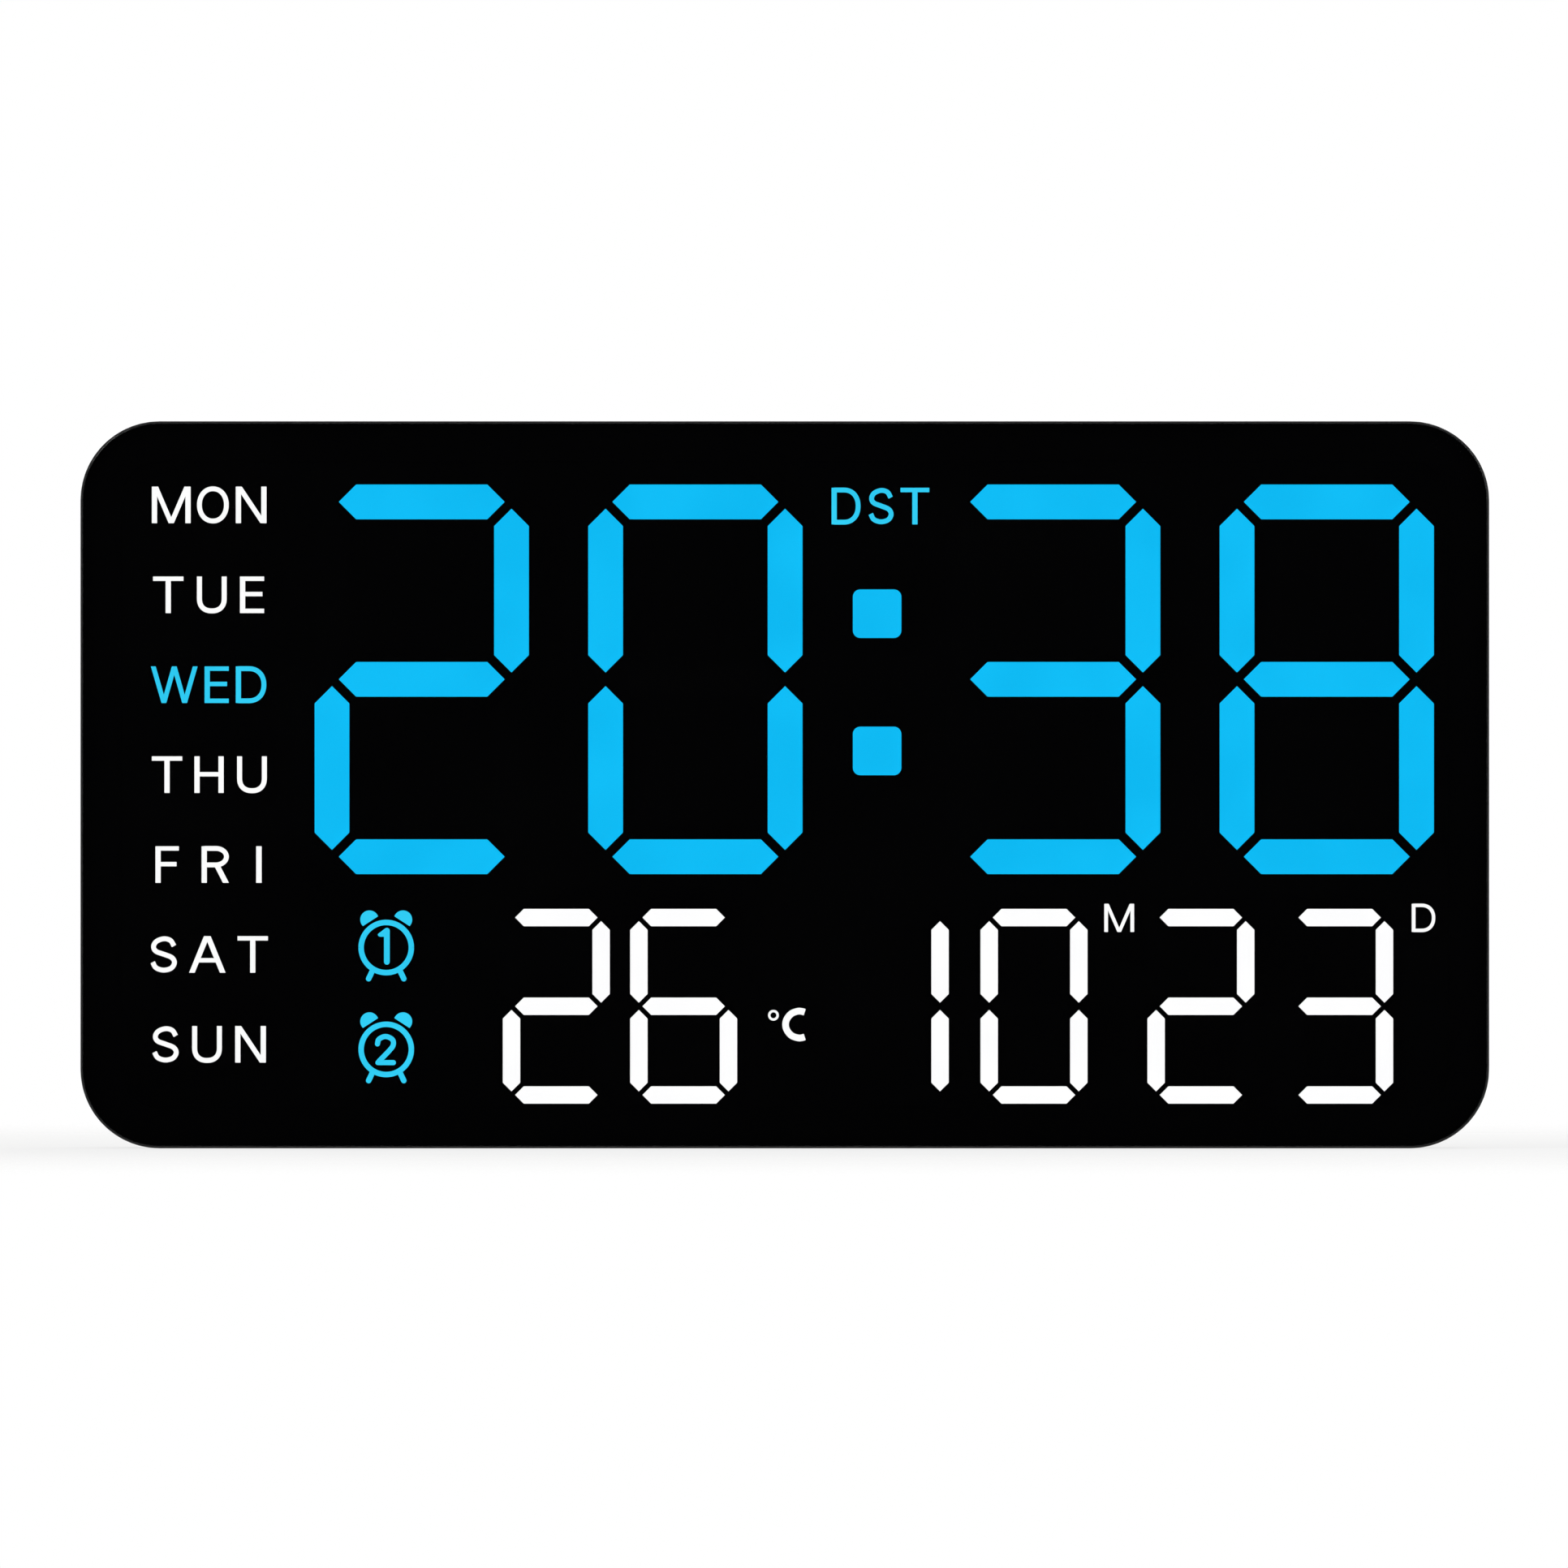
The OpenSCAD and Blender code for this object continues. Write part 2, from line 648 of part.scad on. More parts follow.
module lit_small_bars() { color(WHITE) bar_depth() bars_2d(SMALL_DIGITS, "lit", bar_rim); }

module unlit_bars() {
    color(DARK) bar_depth() bars_2d(TIME_DIGITS, "unlit", bar_rim);
    color(DARK) bar_depth() bars_2d(SMALL_DIGITS, "unlit", bar_rim);
}

// Room cut out of a plate for the frame's screw posts
module post_room(gap) { for (p = CASE_SCREWS) translate(p) circle(post_d / 2 + gap); }

// Reflector: a block with a stepped well behind each bar and a light box behind each word
module reflector() {
    rim_back = reflector_front - lip_t - rim_t;
    color(MILK) on_wall()
        difference() {
            union() {
                translate([0, 0, board_front]) linear_extrude(reflector_t) face_outline(border + fit);
                translate([0, 0, rim_back]) linear_extrude(rim_t) face_outline(wall + fit);
            }
            translate([0, 0, board_front - cut])
                linear_extrude(reflector_t + 2 * cut) {
                    bars_2d(TIME_DIGITS, "all", -bar_ledge);
                    bars_2d(SMALL_DIGITS, "all", -bar_ledge);
                    colon_2d(-bar_ledge);
                    light_boxes_2d();
                }
            translate([0, 0, reflector_front - bar_t])
                linear_extrude(bar_t + cut) {
                    bars_2d(TIME_DIGITS, "all", bar_rim + fit / 2);
                    bars_2d(SMALL_DIGITS, "all", bar_rim + fit / 2);
                    colon_2d(bar_rim + fit / 2);
                }
            translate([0, 0, board_front - cut])
                linear_extrude(reflector_t - lip_t + fit + cut) post_room(2 * fit);
            for (p = BOARD_SCREWS)
                translate([p[0], p[1], board_front - cut])
                    cylinder(d = small_screw_d + 2 * screw_fit,
                             h = small_screw_l - board_t + 2 * fit + cut);
        }
}

module circuit_board() {
    color(BOARD) on_wall()
        translate([0, 0, board_back])
            linear_extrude(board_t)
                difference() {
                    face_outline(border + fit);
                    post_room(2 * fit);
                    for (p = BOARD_SCREWS) translate(p) circle(d = small_screw_d + 2 * screw_fit);
                }
}

module led() { translate([0, 0, led_h / 2]) cube([led_side, led_side, led_h], center = true); }

module bar_leds(digits, places) {
    for (d = digits, b = BARS, k = places)
        translate(concat(middle(d) + [b[1] * column(d), b[2] * row(d)], [0]))
            rotate(b[3] ? 90 : 0) translate([k, 0, 0]) led();
}

module time_leds() {
    color(WHITE) on_wall()
        translate([0, 0, board_front]) {
            bar_leds(TIME_DIGITS, [-digit_stroke, digit_stroke]);
            for (s = [-1, 1]) translate([colon_x, colon_y + s * colon_pitch / 2, 0]) led();
        }
}

// Small bars are narrow, so their LEDs are turned to fit between the ledges
module info_leds() {
    narrow = min(led_side, small_stroke - 2 * bar_ledge - 2 * fit);
    color(WHITE) on_wall()
        translate([0, 0, board_front]) {
            for (d = SMALL_DIGITS, b = BARS)
                translate(concat(middle(d) + [b[1] * column(d), b[2] * row(d)], [led_h / 2]))
                    rotate(b[3] ? 90 : 0) cube([led_side, narrow, led_h], center = true);
            for (b = LIGHT_BOXES) translate([b[0], b[1], 0]) led();
        }
}

// Chip with a row of flat leads along each long side, lying on the back of the board
module chip(w, h, leads) {
    translate([0, 0, board_back - h / 2]) cube([leads * lead_pitch, w, h], center = true);
    for (i = [0:leads - 1], s = [-1, 1])
        translate([(i - (leads - 1) / 2) * lead_pitch, s * (w + lead_l) / 2, board_back - lead_h / 2])
            cube([lead_w, lead_l, lead_h], center = true);
}

chip_y = time_top - digit_h / 4;
module controller_chip() {
    color(DARK) on_wall() translate([0, chip_y, 0]) chip(controller_w, controller_h, controller_leads);
}

module driver_chips() {
    driver_x = leg_pocket_w / 2 + driver_gap + driver_w / 2;
    color(DARK) on_wall()
        for (s = [-1, 1]) translate([s * driver_x, 0, 0]) rotate(90) chip(driver_w, driver_h, driver_leads);
}

module clock_crystal() {
    color(STEEL) on_wall()
        translate([controller_leads * lead_pitch / 2 + crystal_gap, chip_y, board_back - crystal_d / 2])
            rotate([0, 90, 0]) cylinder(d = crystal_d, h = crystal_l);
}

module storage_capacitor() {
    color(STEEL) on_wall()
        translate([well_x + well_w / 2 + capacitor_d, well_y, board_back - capacitor_h])
            cylinder(d = capacitor_d, h = capacitor_h);
}

module buzzer() {
    color(BLACK) on_wall()
        translate([well_x, buzzer_y, board_back - buzzer_h])
            difference() {
                cylinder(d = buzzer_d, h = buzzer_h);
                translate([0, 0, -cut]) cylinder(d = buzzer_hole_d, h = buzzer_hole_l + cut);
            }
}

// Sensor: an epoxy bead on two leads, held close to the vents
module temperature_sensor() {
    color(DARK) on_wall()
        translate([hatch_x, vent_y, board_back - bead_reach]) {
            sphere(d = bead_d);
            for (s = [-1, 1])
                translate([s * bead_lead_gap / 2, 0, 0]) cylinder(d = bead_lead_d, h = bead_reach);
        }
}

// Push switches: square bodies with a round hole for the plunger
module push_switches() {
    color(BLACK) on_wall()
        for (y = BUTTON_YS)
            translate([button_x, y, board_back - switch_h])
                difference() {
                    block(0, 0, switch_side, switch_side, 0, switch_h);
                    translate([0, 0, -cut])
                        cylinder(d = plunger_d + 2 * hinge_fit,
                                 h = plunger_root + button_travel + fit + cut);
                }
}

module plunger(y) {
    color(MILK) on_wall()
        translate([button_x, y, plunger_top])
            cylinder(d = plunger_d, h = switch_reach - switch_h + plunger_root);
}
module set_plunger() { plunger(BUTTON_YS[0]); }
module up_plunger() { plunger(BUTTON_YS[1]); }
module down_plunger() { plunger(BUTTON_YS[2]); }
module alarm_plunger() { plunger(BUTTON_YS[3]); }

// Button: an oblong cap, a flange behind the cover's wall and a stem on the switch's plunger
module button(y) {
    color(DARK) on_wall()
        translate([button_x, y, 0]) {
            translate([0, 0, button_top])
                soft_slab(button_w, button_h, button_h / 2, button_seat - button_top, edge_round);
            translate([0, 0, button_seat])
                plate(button_w + 2 * button_flange, button_h + 2 * button_flange, button_h / 2,
                      button_flange_t);
            translate([0, 0, button_seat + button_flange_t])
                cylinder(d = button_stem_d, h = plunger_top - button_seat - button_flange_t);
        }
}
module set_button() { button(BUTTON_YS[0]); }
module up_button() { button(BUTTON_YS[1]); }
module down_button() { button(BUTTON_YS[2]); }
module alarm_button() { button(BUTTON_YS[3]); }

// Power inlet: an oblong metal shell that stands on the board and a tongue inside it
inlet_mouth = well_depth + fit;
module inlet_shell() {
    color(STEEL) on_wall()
        translate([well_x, well_y, inlet_mouth])
            linear_extrude(board_back - inlet_mouth)
                difference() {
                    oblong(inlet_w, inlet_h);
                    oblong(inlet_w - 2 * inlet_shell, inlet_h - 2 * inlet_shell);
                }
}

module inlet_tongue() {
    base = board_back - inlet_mouth - plug_depth;
    inner_h = inlet_h - 2 * inlet_shell - fit;
    color(BLACK) on_wall()
        translate([well_x, well_y, 0]) {
            translate([0, 0, board_back - base])
                linear_extrude(base) oblong(inlet_w - 2 * inlet_shell - fit, inner_h);
            translate([0, 0, inlet_mouth + inlet_tongue_back])
                linear_extrude(plug_depth - inlet_tongue_back)
                    square([inlet_tongue_w, inlet_tongue_t], center = true);
        }
}

// Holder of the coin cell: a shallow round cup on the board, open at one side for a fingertip
holder_d = cell_d + 2 * holder_wall + 2 * fit;
holder_lip = cell_t * 2 / 3;
cell_back = board_back - holder_floor - cell_t;
module cell_holder() {
    color(BLACK) on_wall()
        translate([hatch_x, shaft_y, board_back - holder_floor - holder_lip])
            difference() {
                cylinder(d = holder_d, h = holder_floor + holder_lip);
                translate([0, 0, -cut]) cylinder(d = cell_d + 2 * fit, h = holder_lip + cut);
                block(0, -holder_d / 2, holder_gap, 4 * holder_wall, -cut, holder_lip);
            }
}

module coin_cell() {
    color(STEEL) on_wall()
        translate([hatch_x, shaft_y, cell_back]) {
            cylinder(d = cell_d, h = cell_t - cell_step);
            translate([0, 0, cell_t - cell_step]) cylinder(d = cell_d - 2 * cell_rim, h = cell_step);
        }
}

// Clip: a spring strap over the cell with a foot on the board at each end
module cell_clip() {
    span = holder_d + 2 * fit + 2 * clip_t;
    color(STEEL) on_wall()
        translate([hatch_x, shaft_y, 0]) {
            block(0, 0, span, clip_w, cell_back - clip_t, cell_back);
            for (s = [-1, 1])
                block(s * (span - clip_t) / 2, 0, clip_t, clip_w, cell_back - clip_t, board_back);
        }
}

// Pan-head screw with its head below z = 0 and its shank above
module screw(d, l, head_d, head_h) {
    cross_l = head_d * 0.6;
    cylinder(d = d, h = l);
    translate([0, 0, -head_h])
        difference() {
            rotate_extrude() soft_half(head_d / 2, head_h, head_round);
            for (turn = [0, 90]) rotate(turn) cube([cross_l, cross_w, head_h], center = true);
        }
}

module board_screws() {
    color(STEEL) on_wall()
        for (p = BOARD_SCREWS)
            translate([p[0], p[1], board_back])
                screw(small_screw_d, small_screw_l, small_head_d, small_head_h);
}

module case_screws() {
    color(STEEL) on_wall()
        for (p = CASE_SCREWS)
            translate([p[0], p[1], cover_depth - screw_seat])
                screw(case_screw_d, case_screw_l, case_head_d, case_head_h);
}

// Frame: the front half of the case, with a lip for the lens and posts for the screws
tongue_in = wall / 2;
module front_frame() {
    lip_back = reflector_front - lip_t;
    color(BLACK) on_wall()
        difference() {
            union() {
                difference() {
                    translate([0, 0, cover_depth])
                        soft_slab(face_w, face_h, corner_r, reflector_front - cover_depth, seam_round);
                    translate([0, 0, cover_depth - cut])
                        linear_extrude(lip_back - cover_depth + cut) face_outline(wall);
                    translate([0, 0, lip_back - cut]) linear_extrude(lip_t + 2 * cut) face_outline(border);
                }
                for (p = CASE_SCREWS)
                    translate([p[0], p[1], cover_depth]) cylinder(d = post_d, h = lip_back - cover_depth);
            }
            translate([0, 0, cover_depth - cut])
                linear_extrude(tongue_h + fit + cut)
                    difference() {
                        face_outline(tongue_in);
                        face_outline(wall);
                        post_room(2 * fit);
                    }
            for (p = CASE_SCREWS)
                translate([p[0], p[1], cover_depth - cut])
                    cylinder(d = case_screw_d + 2 * screw_fit,
                             h = case_screw_l - screw_seat + 2 * fit + cut);
        }
}

// Keyhole outline: a round entry and a slot that rises from it
module keyhole_2d() {
    circle(d = keyhole_d);
    translate([0, keyhole_rise]) circle(d = keyhole_slot_w);
    translate([0, keyhole_rise / 2]) square([keyhole_slot_w, keyhole_rise], center = true);
}

// Box from the back towards the front, centred across and upwards
module block(x, y, w, h, z0, z1) { translate([x - w / 2, y - h / 2, z0]) cube([w, h, z1 - z0]); }

leg_pocket_w = leg_w + 2 * moving_gap;
leg_pocket_top = hinge_y + heel_reach + moving_gap;
leg_pocket_bottom = -face_top + leg_foot_gap - moving_gap;
leg_pocket_h = leg_pocket_top - leg_pocket_bottom;
leg_pocket_y = (leg_pocket_top + leg_pocket_bottom) / 2;
hinge_bore_l = leg_pocket_w + 2 * hinge_l + 2 * moving_gap;
keyhole_pocket_w = keyhole_d + inner_wall;
keyhole_pocket_h = keyhole_d + keyhole_rise + inner_wall;
keyhole_pocket_y = hang_y + keyhole_rise / 2;
button_recess_w = button_w + 2 * button_margin;
button_recess_h = 3 * button_pitch + button_h + 2 * button_margin;
press_x = leg_pocket_w / 2 + press_gap + press_post_d / 2;
PRESS_POSTS = [for (s = [-1, 1]) [s * upper_screw_x, hang_y],
               for (s = [-1, 1]) [s * press_x, -press_drop]];

// Pocket grown by a wall on its four sides, from inside the back wall to a depth
module pocket_walls(x, y, w, h, deep) {
    block(x, y, w + 2 * inner_wall, h + 2 * inner_wall, wall / 2, deep);
}

// Material that the cover gains on its inside round its pockets
module cover_blocks() {
    leg_floor = leg_pocket + inner_wall;
    channel_y = (well_y - face_top + wall) / 2;
    pocket_walls(0, leg_pocket_y, leg_pocket_w, leg_pocket_h, leg_floor);
    pocket_walls(0, hinge_y, hinge_bore_l, hinge_d, leg_floor);
    pocket_walls(button_x, 0, button_recess_w, button_recess_h, button_seat);
    pocket_walls(well_x, well_y, well_w, well_h, well_depth + inner_wall);
    block(well_x, channel_y, channel_w + 2 * inner_wall, well_y + face_top - wall,
          wall / 2, channel_depth + inner_wall);
    pocket_walls(hatch_x, hatch_y, hatch_w, hatch_h, shaft_depth);
    for (s = [-1, 1])
        pocket_walls(s * hang_span / 2, keyhole_pocket_y, keyhole_pocket_w, keyhole_pocket_h,
                     wall + keyhole_pocket + inner_wall);
    for (p = CASE_SCREWS) translate([p[0], p[1], wall]) cylinder(d = boss_d, h = cover_depth - wall);
    for (p = PRESS_POSTS)
        translate([p[0], p[1], wall / 2]) cylinder(d = press_post_d, h = board_back - wall / 2);
}

// Hollows and holes that are cut from the cover's back
module cover_cuts() {
    channel_top = well_y;
    channel_h = channel_top + face_top + cut;
    hatch_screw_end = hatch_out + hatch_bore + small_screw_l + 2 * fit;
    block(well_x, channel_top - channel_h / 2, channel_w, channel_h, -cut, channel_depth);
    block(hatch_x, shaft_y, shaft_side, shaft_side, -cut, shaft_depth + cut);
    for (s = [-1, 1])
        block(s * hang_span / 2, keyhole_pocket_y, keyhole_pocket_w, keyhole_pocket_h,
              wall, wall + keyhole_pocket);
    translate([-hinge_bore_l / 2, hinge_y, hinge_in])
        rotate([0, 90, 0]) cylinder(d = hinge_d + 2 * hinge_fit, h = hinge_bore_l);
    translate([0, 0, -cut]) {
        translate([0, leg_pocket_y, 0])
            plate(leg_pocket_w, leg_pocket_h, leg_corner + moving_gap, leg_pocket + cut);
        translate([well_x, well_y, 0]) plate(well_w, well_h, well_corner, well_depth + cut);
        translate([hatch_x, hatch_y, 0])
            plate(hatch_w + 2 * moving_gap, hatch_h + 2 * moving_gap, hatch_corner + moving_gap,
                  hatch_seat + cut);
        translate([hatch_x, hatch_screw_y, 0])
            cylinder(d = small_screw_d + 2 * screw_fit, h = hatch_screw_end + cut);
        translate([button_x, 0, 0])
            plate(button_recess_w, button_recess_h, button_corner, button_recess + cut);
        for (y = BUTTON_YS)
            translate([button_x, y, 0])
                linear_extrude(button_seat + 2 * cut)
                    oblong(button_w + 2 * moving_gap, button_h + 2 * moving_gap);
        translate([well_x, well_y, 0])
            linear_extrude(well_depth + inner_wall + 2 * cut)
                oblong(inlet_w + 2 * moving_gap, inlet_h + 2 * moving_gap);
        for (s = [-1, 1])
            translate([s * hang_span / 2, hang_y, 0]) linear_extrude(wall + 1.5 * cut) keyhole_2d();
        for (p = CASE_SCREWS)
            translate([p[0], p[1], 0]) {
                cylinder(d = case_head_d + 2 * moving_gap, h = cover_depth - screw_seat + cut);
                cylinder(d = case_screw_d + 4 * fit, h = cover_depth + 2 * cut);
            }
        for (i = [-2:2])
            translate([hatch_x + i * vent_pitch, vent_y, 0])
                linear_extrude(wall + 2 * cut) rotate(90) oblong(vent_l, vent_w);
        for (i = [-1:1])
            translate([well_x, buzzer_y + i * vent_pitch, 0])
                linear_extrude(wall + 2 * cut) oblong(vent_l, vent_w);
    }
}

// Cover: the back half of the case, with pockets for everything that is handled from behind
module rear_cover() {
    color(BLACK) on_wall()
        difference() {
            union() {
                difference() {
                    soft_slab(face_w, face_h, corner_r, cover_depth, back_round);
                    translate([0, 0, wall]) linear_extrude(cover_depth) face_outline(wall);
                }
                translate([0, 0, cover_depth - cut])
                    linear_extrude(tongue_h + cut)
                        difference() {
                            face_outline(tongue_in + fit);
                            face_outline(wall);
                            post_room(4 * fit);
                        }
                cover_blocks();
            }
            cover_cuts();
        }
}

// Leg: a ribbed flap with a barrel, two hinge pins and a heel that stops it
module stand_leg() {
    foot_y = hinge_y - leg_l;
    pin_l = leg_pocket_w + 2 * hinge_l;
    hollow_h = leg_l - leg_barrel_r - 2 * leg_rib_w;
    rib_pitch = (leg_w - leg_rib_w) / (leg_ribs + 1);
    color(DARK) on_wall()
        difference() {
            union() {
                intersection() {
                    union() {
                        block(0, (hinge_y + foot_y) / 2, leg_w, leg_l, leg_out, leg_out + leg_depth);
                        block(0, hinge_y + heel_l / 2, leg_w, heel_l, leg_out, hinge_in + heel_in);
                        translate([0, hinge_y, hinge_in])
                            rotate([0, 90, 0]) cylinder(r = leg_barrel_r, h = leg_w, center = true);
                    }
                    translate([0, (hinge_y + heel_l + foot_y) / 2, leg_out])
                        soft_slab(leg_w, leg_l + heel_l, leg_corner, leg_pocket, edge_round);
                }
                translate([0, hinge_y, hinge_in])
                    rotate([0, 90, 0]) cylinder(d = hinge_d, h = pin_l, center = true);
            }
            for (i = [0:leg_ribs])
                block((i - leg_ribs / 2) * rib_pitch, foot_y + leg_rib_w + hollow_h / 2,
                      rib_pitch - leg_rib_w, hollow_h, leg_out + leg_skin, leg_out + leg_depth + cut);
            translate([0, foot_y, -cut]) cylinder(r = notch_r, h = leg_out + leg_depth + 2 * cut);
        }
}

// Hatch: a plate over the cell, held by one screw in a counterbore
hatch_out = moving_gap / 2;
hatch_seat = hatch_out + hatch_t;
hatch_bore = hatch_t * 2 / 3;
module battery_hatch() {
    color(DARK) on_wall()
        difference() {
            translate([hatch_x, hatch_y, hatch_out])
                soft_slab(hatch_w, hatch_h, hatch_corner, hatch_t, edge_round);
            translate([hatch_x, hatch_screw_y, -cut]) {
                cylinder(d = small_head_d + 2 * fit, h = hatch_out + hatch_bore + cut);
                cylinder(d = small_screw_d + 2 * fit, h = hatch_seat + 2 * cut);
            }
        }
}

module hatch_screw() {
    color(STEEL) on_wall()
        translate([hatch_x, hatch_screw_y, hatch_out + hatch_bore])
            screw(small_screw_d, small_screw_l, small_head_d, small_head_h);
}

front_lens();
lens_tape();
display_mask();
lit_time_bars();
lit_small_bars();
unlit_bars();
reflector();
circuit_board();
time_leds();
info_leds();
controller_chip();
driver_chips();
clock_crystal();
storage_capacitor();
buzzer();
temperature_sensor();
push_switches();
inlet_shell();
inlet_tongue();
cell_holder();
cell_clip();
coin_cell();
board_screws();
front_frame();
rear_cover();
case_screws();
set_button();
up_button();
down_button();
alarm_button();
set_plunger();
up_plunger();
down_plunger();
alarm_plunger();
stand_leg();
battery_hatch();
hatch_screw();
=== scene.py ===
import math
from collections import Counter

import bmesh
import bpy
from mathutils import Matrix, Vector
from mathutils.geometry import delaunay_2d_cdt


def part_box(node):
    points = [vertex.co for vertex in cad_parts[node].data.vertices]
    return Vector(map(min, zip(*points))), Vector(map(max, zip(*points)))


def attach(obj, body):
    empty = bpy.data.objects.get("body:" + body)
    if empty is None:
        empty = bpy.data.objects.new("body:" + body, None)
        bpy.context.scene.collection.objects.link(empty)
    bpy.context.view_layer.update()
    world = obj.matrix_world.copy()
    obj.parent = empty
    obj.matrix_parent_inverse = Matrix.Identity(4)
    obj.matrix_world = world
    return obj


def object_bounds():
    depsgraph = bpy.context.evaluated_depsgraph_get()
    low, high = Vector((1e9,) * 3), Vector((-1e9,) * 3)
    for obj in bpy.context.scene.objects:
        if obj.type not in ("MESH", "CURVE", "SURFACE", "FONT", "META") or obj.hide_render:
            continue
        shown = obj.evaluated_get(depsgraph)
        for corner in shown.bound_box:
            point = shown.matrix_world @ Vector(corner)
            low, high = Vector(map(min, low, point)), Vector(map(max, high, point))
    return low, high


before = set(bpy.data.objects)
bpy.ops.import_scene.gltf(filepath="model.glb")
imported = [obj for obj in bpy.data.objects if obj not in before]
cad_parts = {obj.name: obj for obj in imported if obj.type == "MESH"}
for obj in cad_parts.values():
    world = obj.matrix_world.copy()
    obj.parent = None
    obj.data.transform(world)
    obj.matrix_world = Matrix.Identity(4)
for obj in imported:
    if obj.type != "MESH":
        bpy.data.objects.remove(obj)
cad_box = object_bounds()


# Circuit board
# A glass-epoxy sheet under green solder mask, routed to the reflector's outline and held by four screws.
# Everything electric sits on it; it shows only through the vents and the open battery shaft.

MM = 0.001


def linear(code):
    """The linear colour of an sRGB hex code."""
    parts = [int(code[i:i + 2], 16) / 255 for i in (1, 3, 5)]
    return (*[p / 12.92 if p <= 0.04045 else ((p + 0.055) / 1.055) ** 2.4 for p in parts], 1)


def add(tree, kind, inputs=None, **settings):
    """Adds a node with its settings. An input is named or numbered, and takes a value or a node's output."""
    node = tree.nodes.new(kind)
    for name, value in settings.items():
        setattr(node, name, value)
    for name, value in (inputs or {}).items():
        if isinstance(value, bpy.types.NodeSocket):
            tree.links.new(value, node.inputs[name])
        else:
            node.inputs[name].default_value = value
    return node


def begin(name):
    """An empty material, and the Object coordinates in millimetres that its patterns are drawn in."""
    material = bpy.data.materials.new(name)
    material.use_nodes = True
    tree = material.node_tree
    tree.nodes.clear()
    metres = add(tree, "ShaderNodeTexCoord").outputs["Object"]
    place = add(tree, "ShaderNodeVectorMath", {0: metres, "Scale": 1 / MM}, operation="SCALE").outputs[0]
    return material, tree, place


def dress(material, *nodes):
    """Gives CAD nodes a finish, in the material slots that they already have."""
    for name in nodes:
        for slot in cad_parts[name].material_slots:
            slot.material = material


# Solder mask over copper: raised tracks at the 1.27 mm pitch of the chips show as paler, glossier lines.
board_mask, tree, place = begin("green_solder_mask_on_glass_epoxy")
TRACK_PITCH, TRACK_W, TRACK_RUN, COPPER_T = 1.27, 0.3, 9, 0.035
upright = add(tree, "ShaderNodeMapping", {"Vector": place, "Rotation": (math.pi / 2, 0, 0)}).outputs[0]
tracks = add(tree, "ShaderNodeTexBrick", {
    "Vector": upright, "Color1": linear("#0D4429"), "Color2": linear("#0F4B2E"), "Mortar": linear("#1B6B43"),
    "Scale": 1, "Mortar Size": TRACK_W / 2, "Mortar Smooth": 0.2,
    "Brick Width": TRACK_RUN, "Row Height": TRACK_PITCH,
})
relief = add(tree, "ShaderNodeBump", {
    "Height": tracks.outputs["Fac"], "Strength": 0.4, "Distance": COPPER_T * MM,
})
gloss = add(tree, "ShaderNodeMapRange", {"Value": tracks.outputs["Fac"], "To Min": 0.42, "To Max": 0.3})
surface = add(tree, "ShaderNodeBsdfPrincipled", {
    "Base Color": tracks.outputs["Color"], "Roughness": gloss.outputs[0], "Normal": relief.outputs[0],
})
add(tree, "ShaderNodeOutputMaterial", {"Surface": surface.outputs[0]})
dress(board_mask, "circuit_board")


# LEDs
# Small white ceramic-filled packages, soldered to the board's front, one or two behind each bar and sign.
# A phosphor gel fills each cup, so that the package looks cream, with yellower grains in it.

PHOSPHOR_MM = 0.8
led_white, tree, place = begin("led_package_with_phosphor_gel")
grain = add(tree, "ShaderNodeTexNoise", {"Vector": place, "Scale": 1 / PHOSPHOR_MM, "Detail": 2})
tone = add(tree, "ShaderNodeMix", {
    0: grain.outputs["Fac"], 6: linear("#F3ECD0"), 7: linear("#E6D48E"),
}, data_type="RGBA")
surface = add(tree, "ShaderNodeBsdfPrincipled", {"Base Color": tone.outputs[2], "Roughness": 0.35})
add(tree, "ShaderNodeOutputMaterial", {"Surface": surface.outputs[0]})
dress(led_white, "time_leds", "info_leds")


# Chips and temperature sensor
# Controller and driver chips in black moulding epoxy with tinned leads, and an epoxy bead by the vents.
# The mould is blasted, so the bodies are dull and finely grained.

DRIFT_MM, DRIFT = 22, 0.08  # how far apart the pigment's clouds lie, and how much they change it
NOISE_LOW, NOISE_HIGH = 0.3, 0.7  # most of a noise lies between these
DULL_SPREAD = 0.07  # how far the grain takes the roughness up and down
PLASTIC_IOR = 1.53


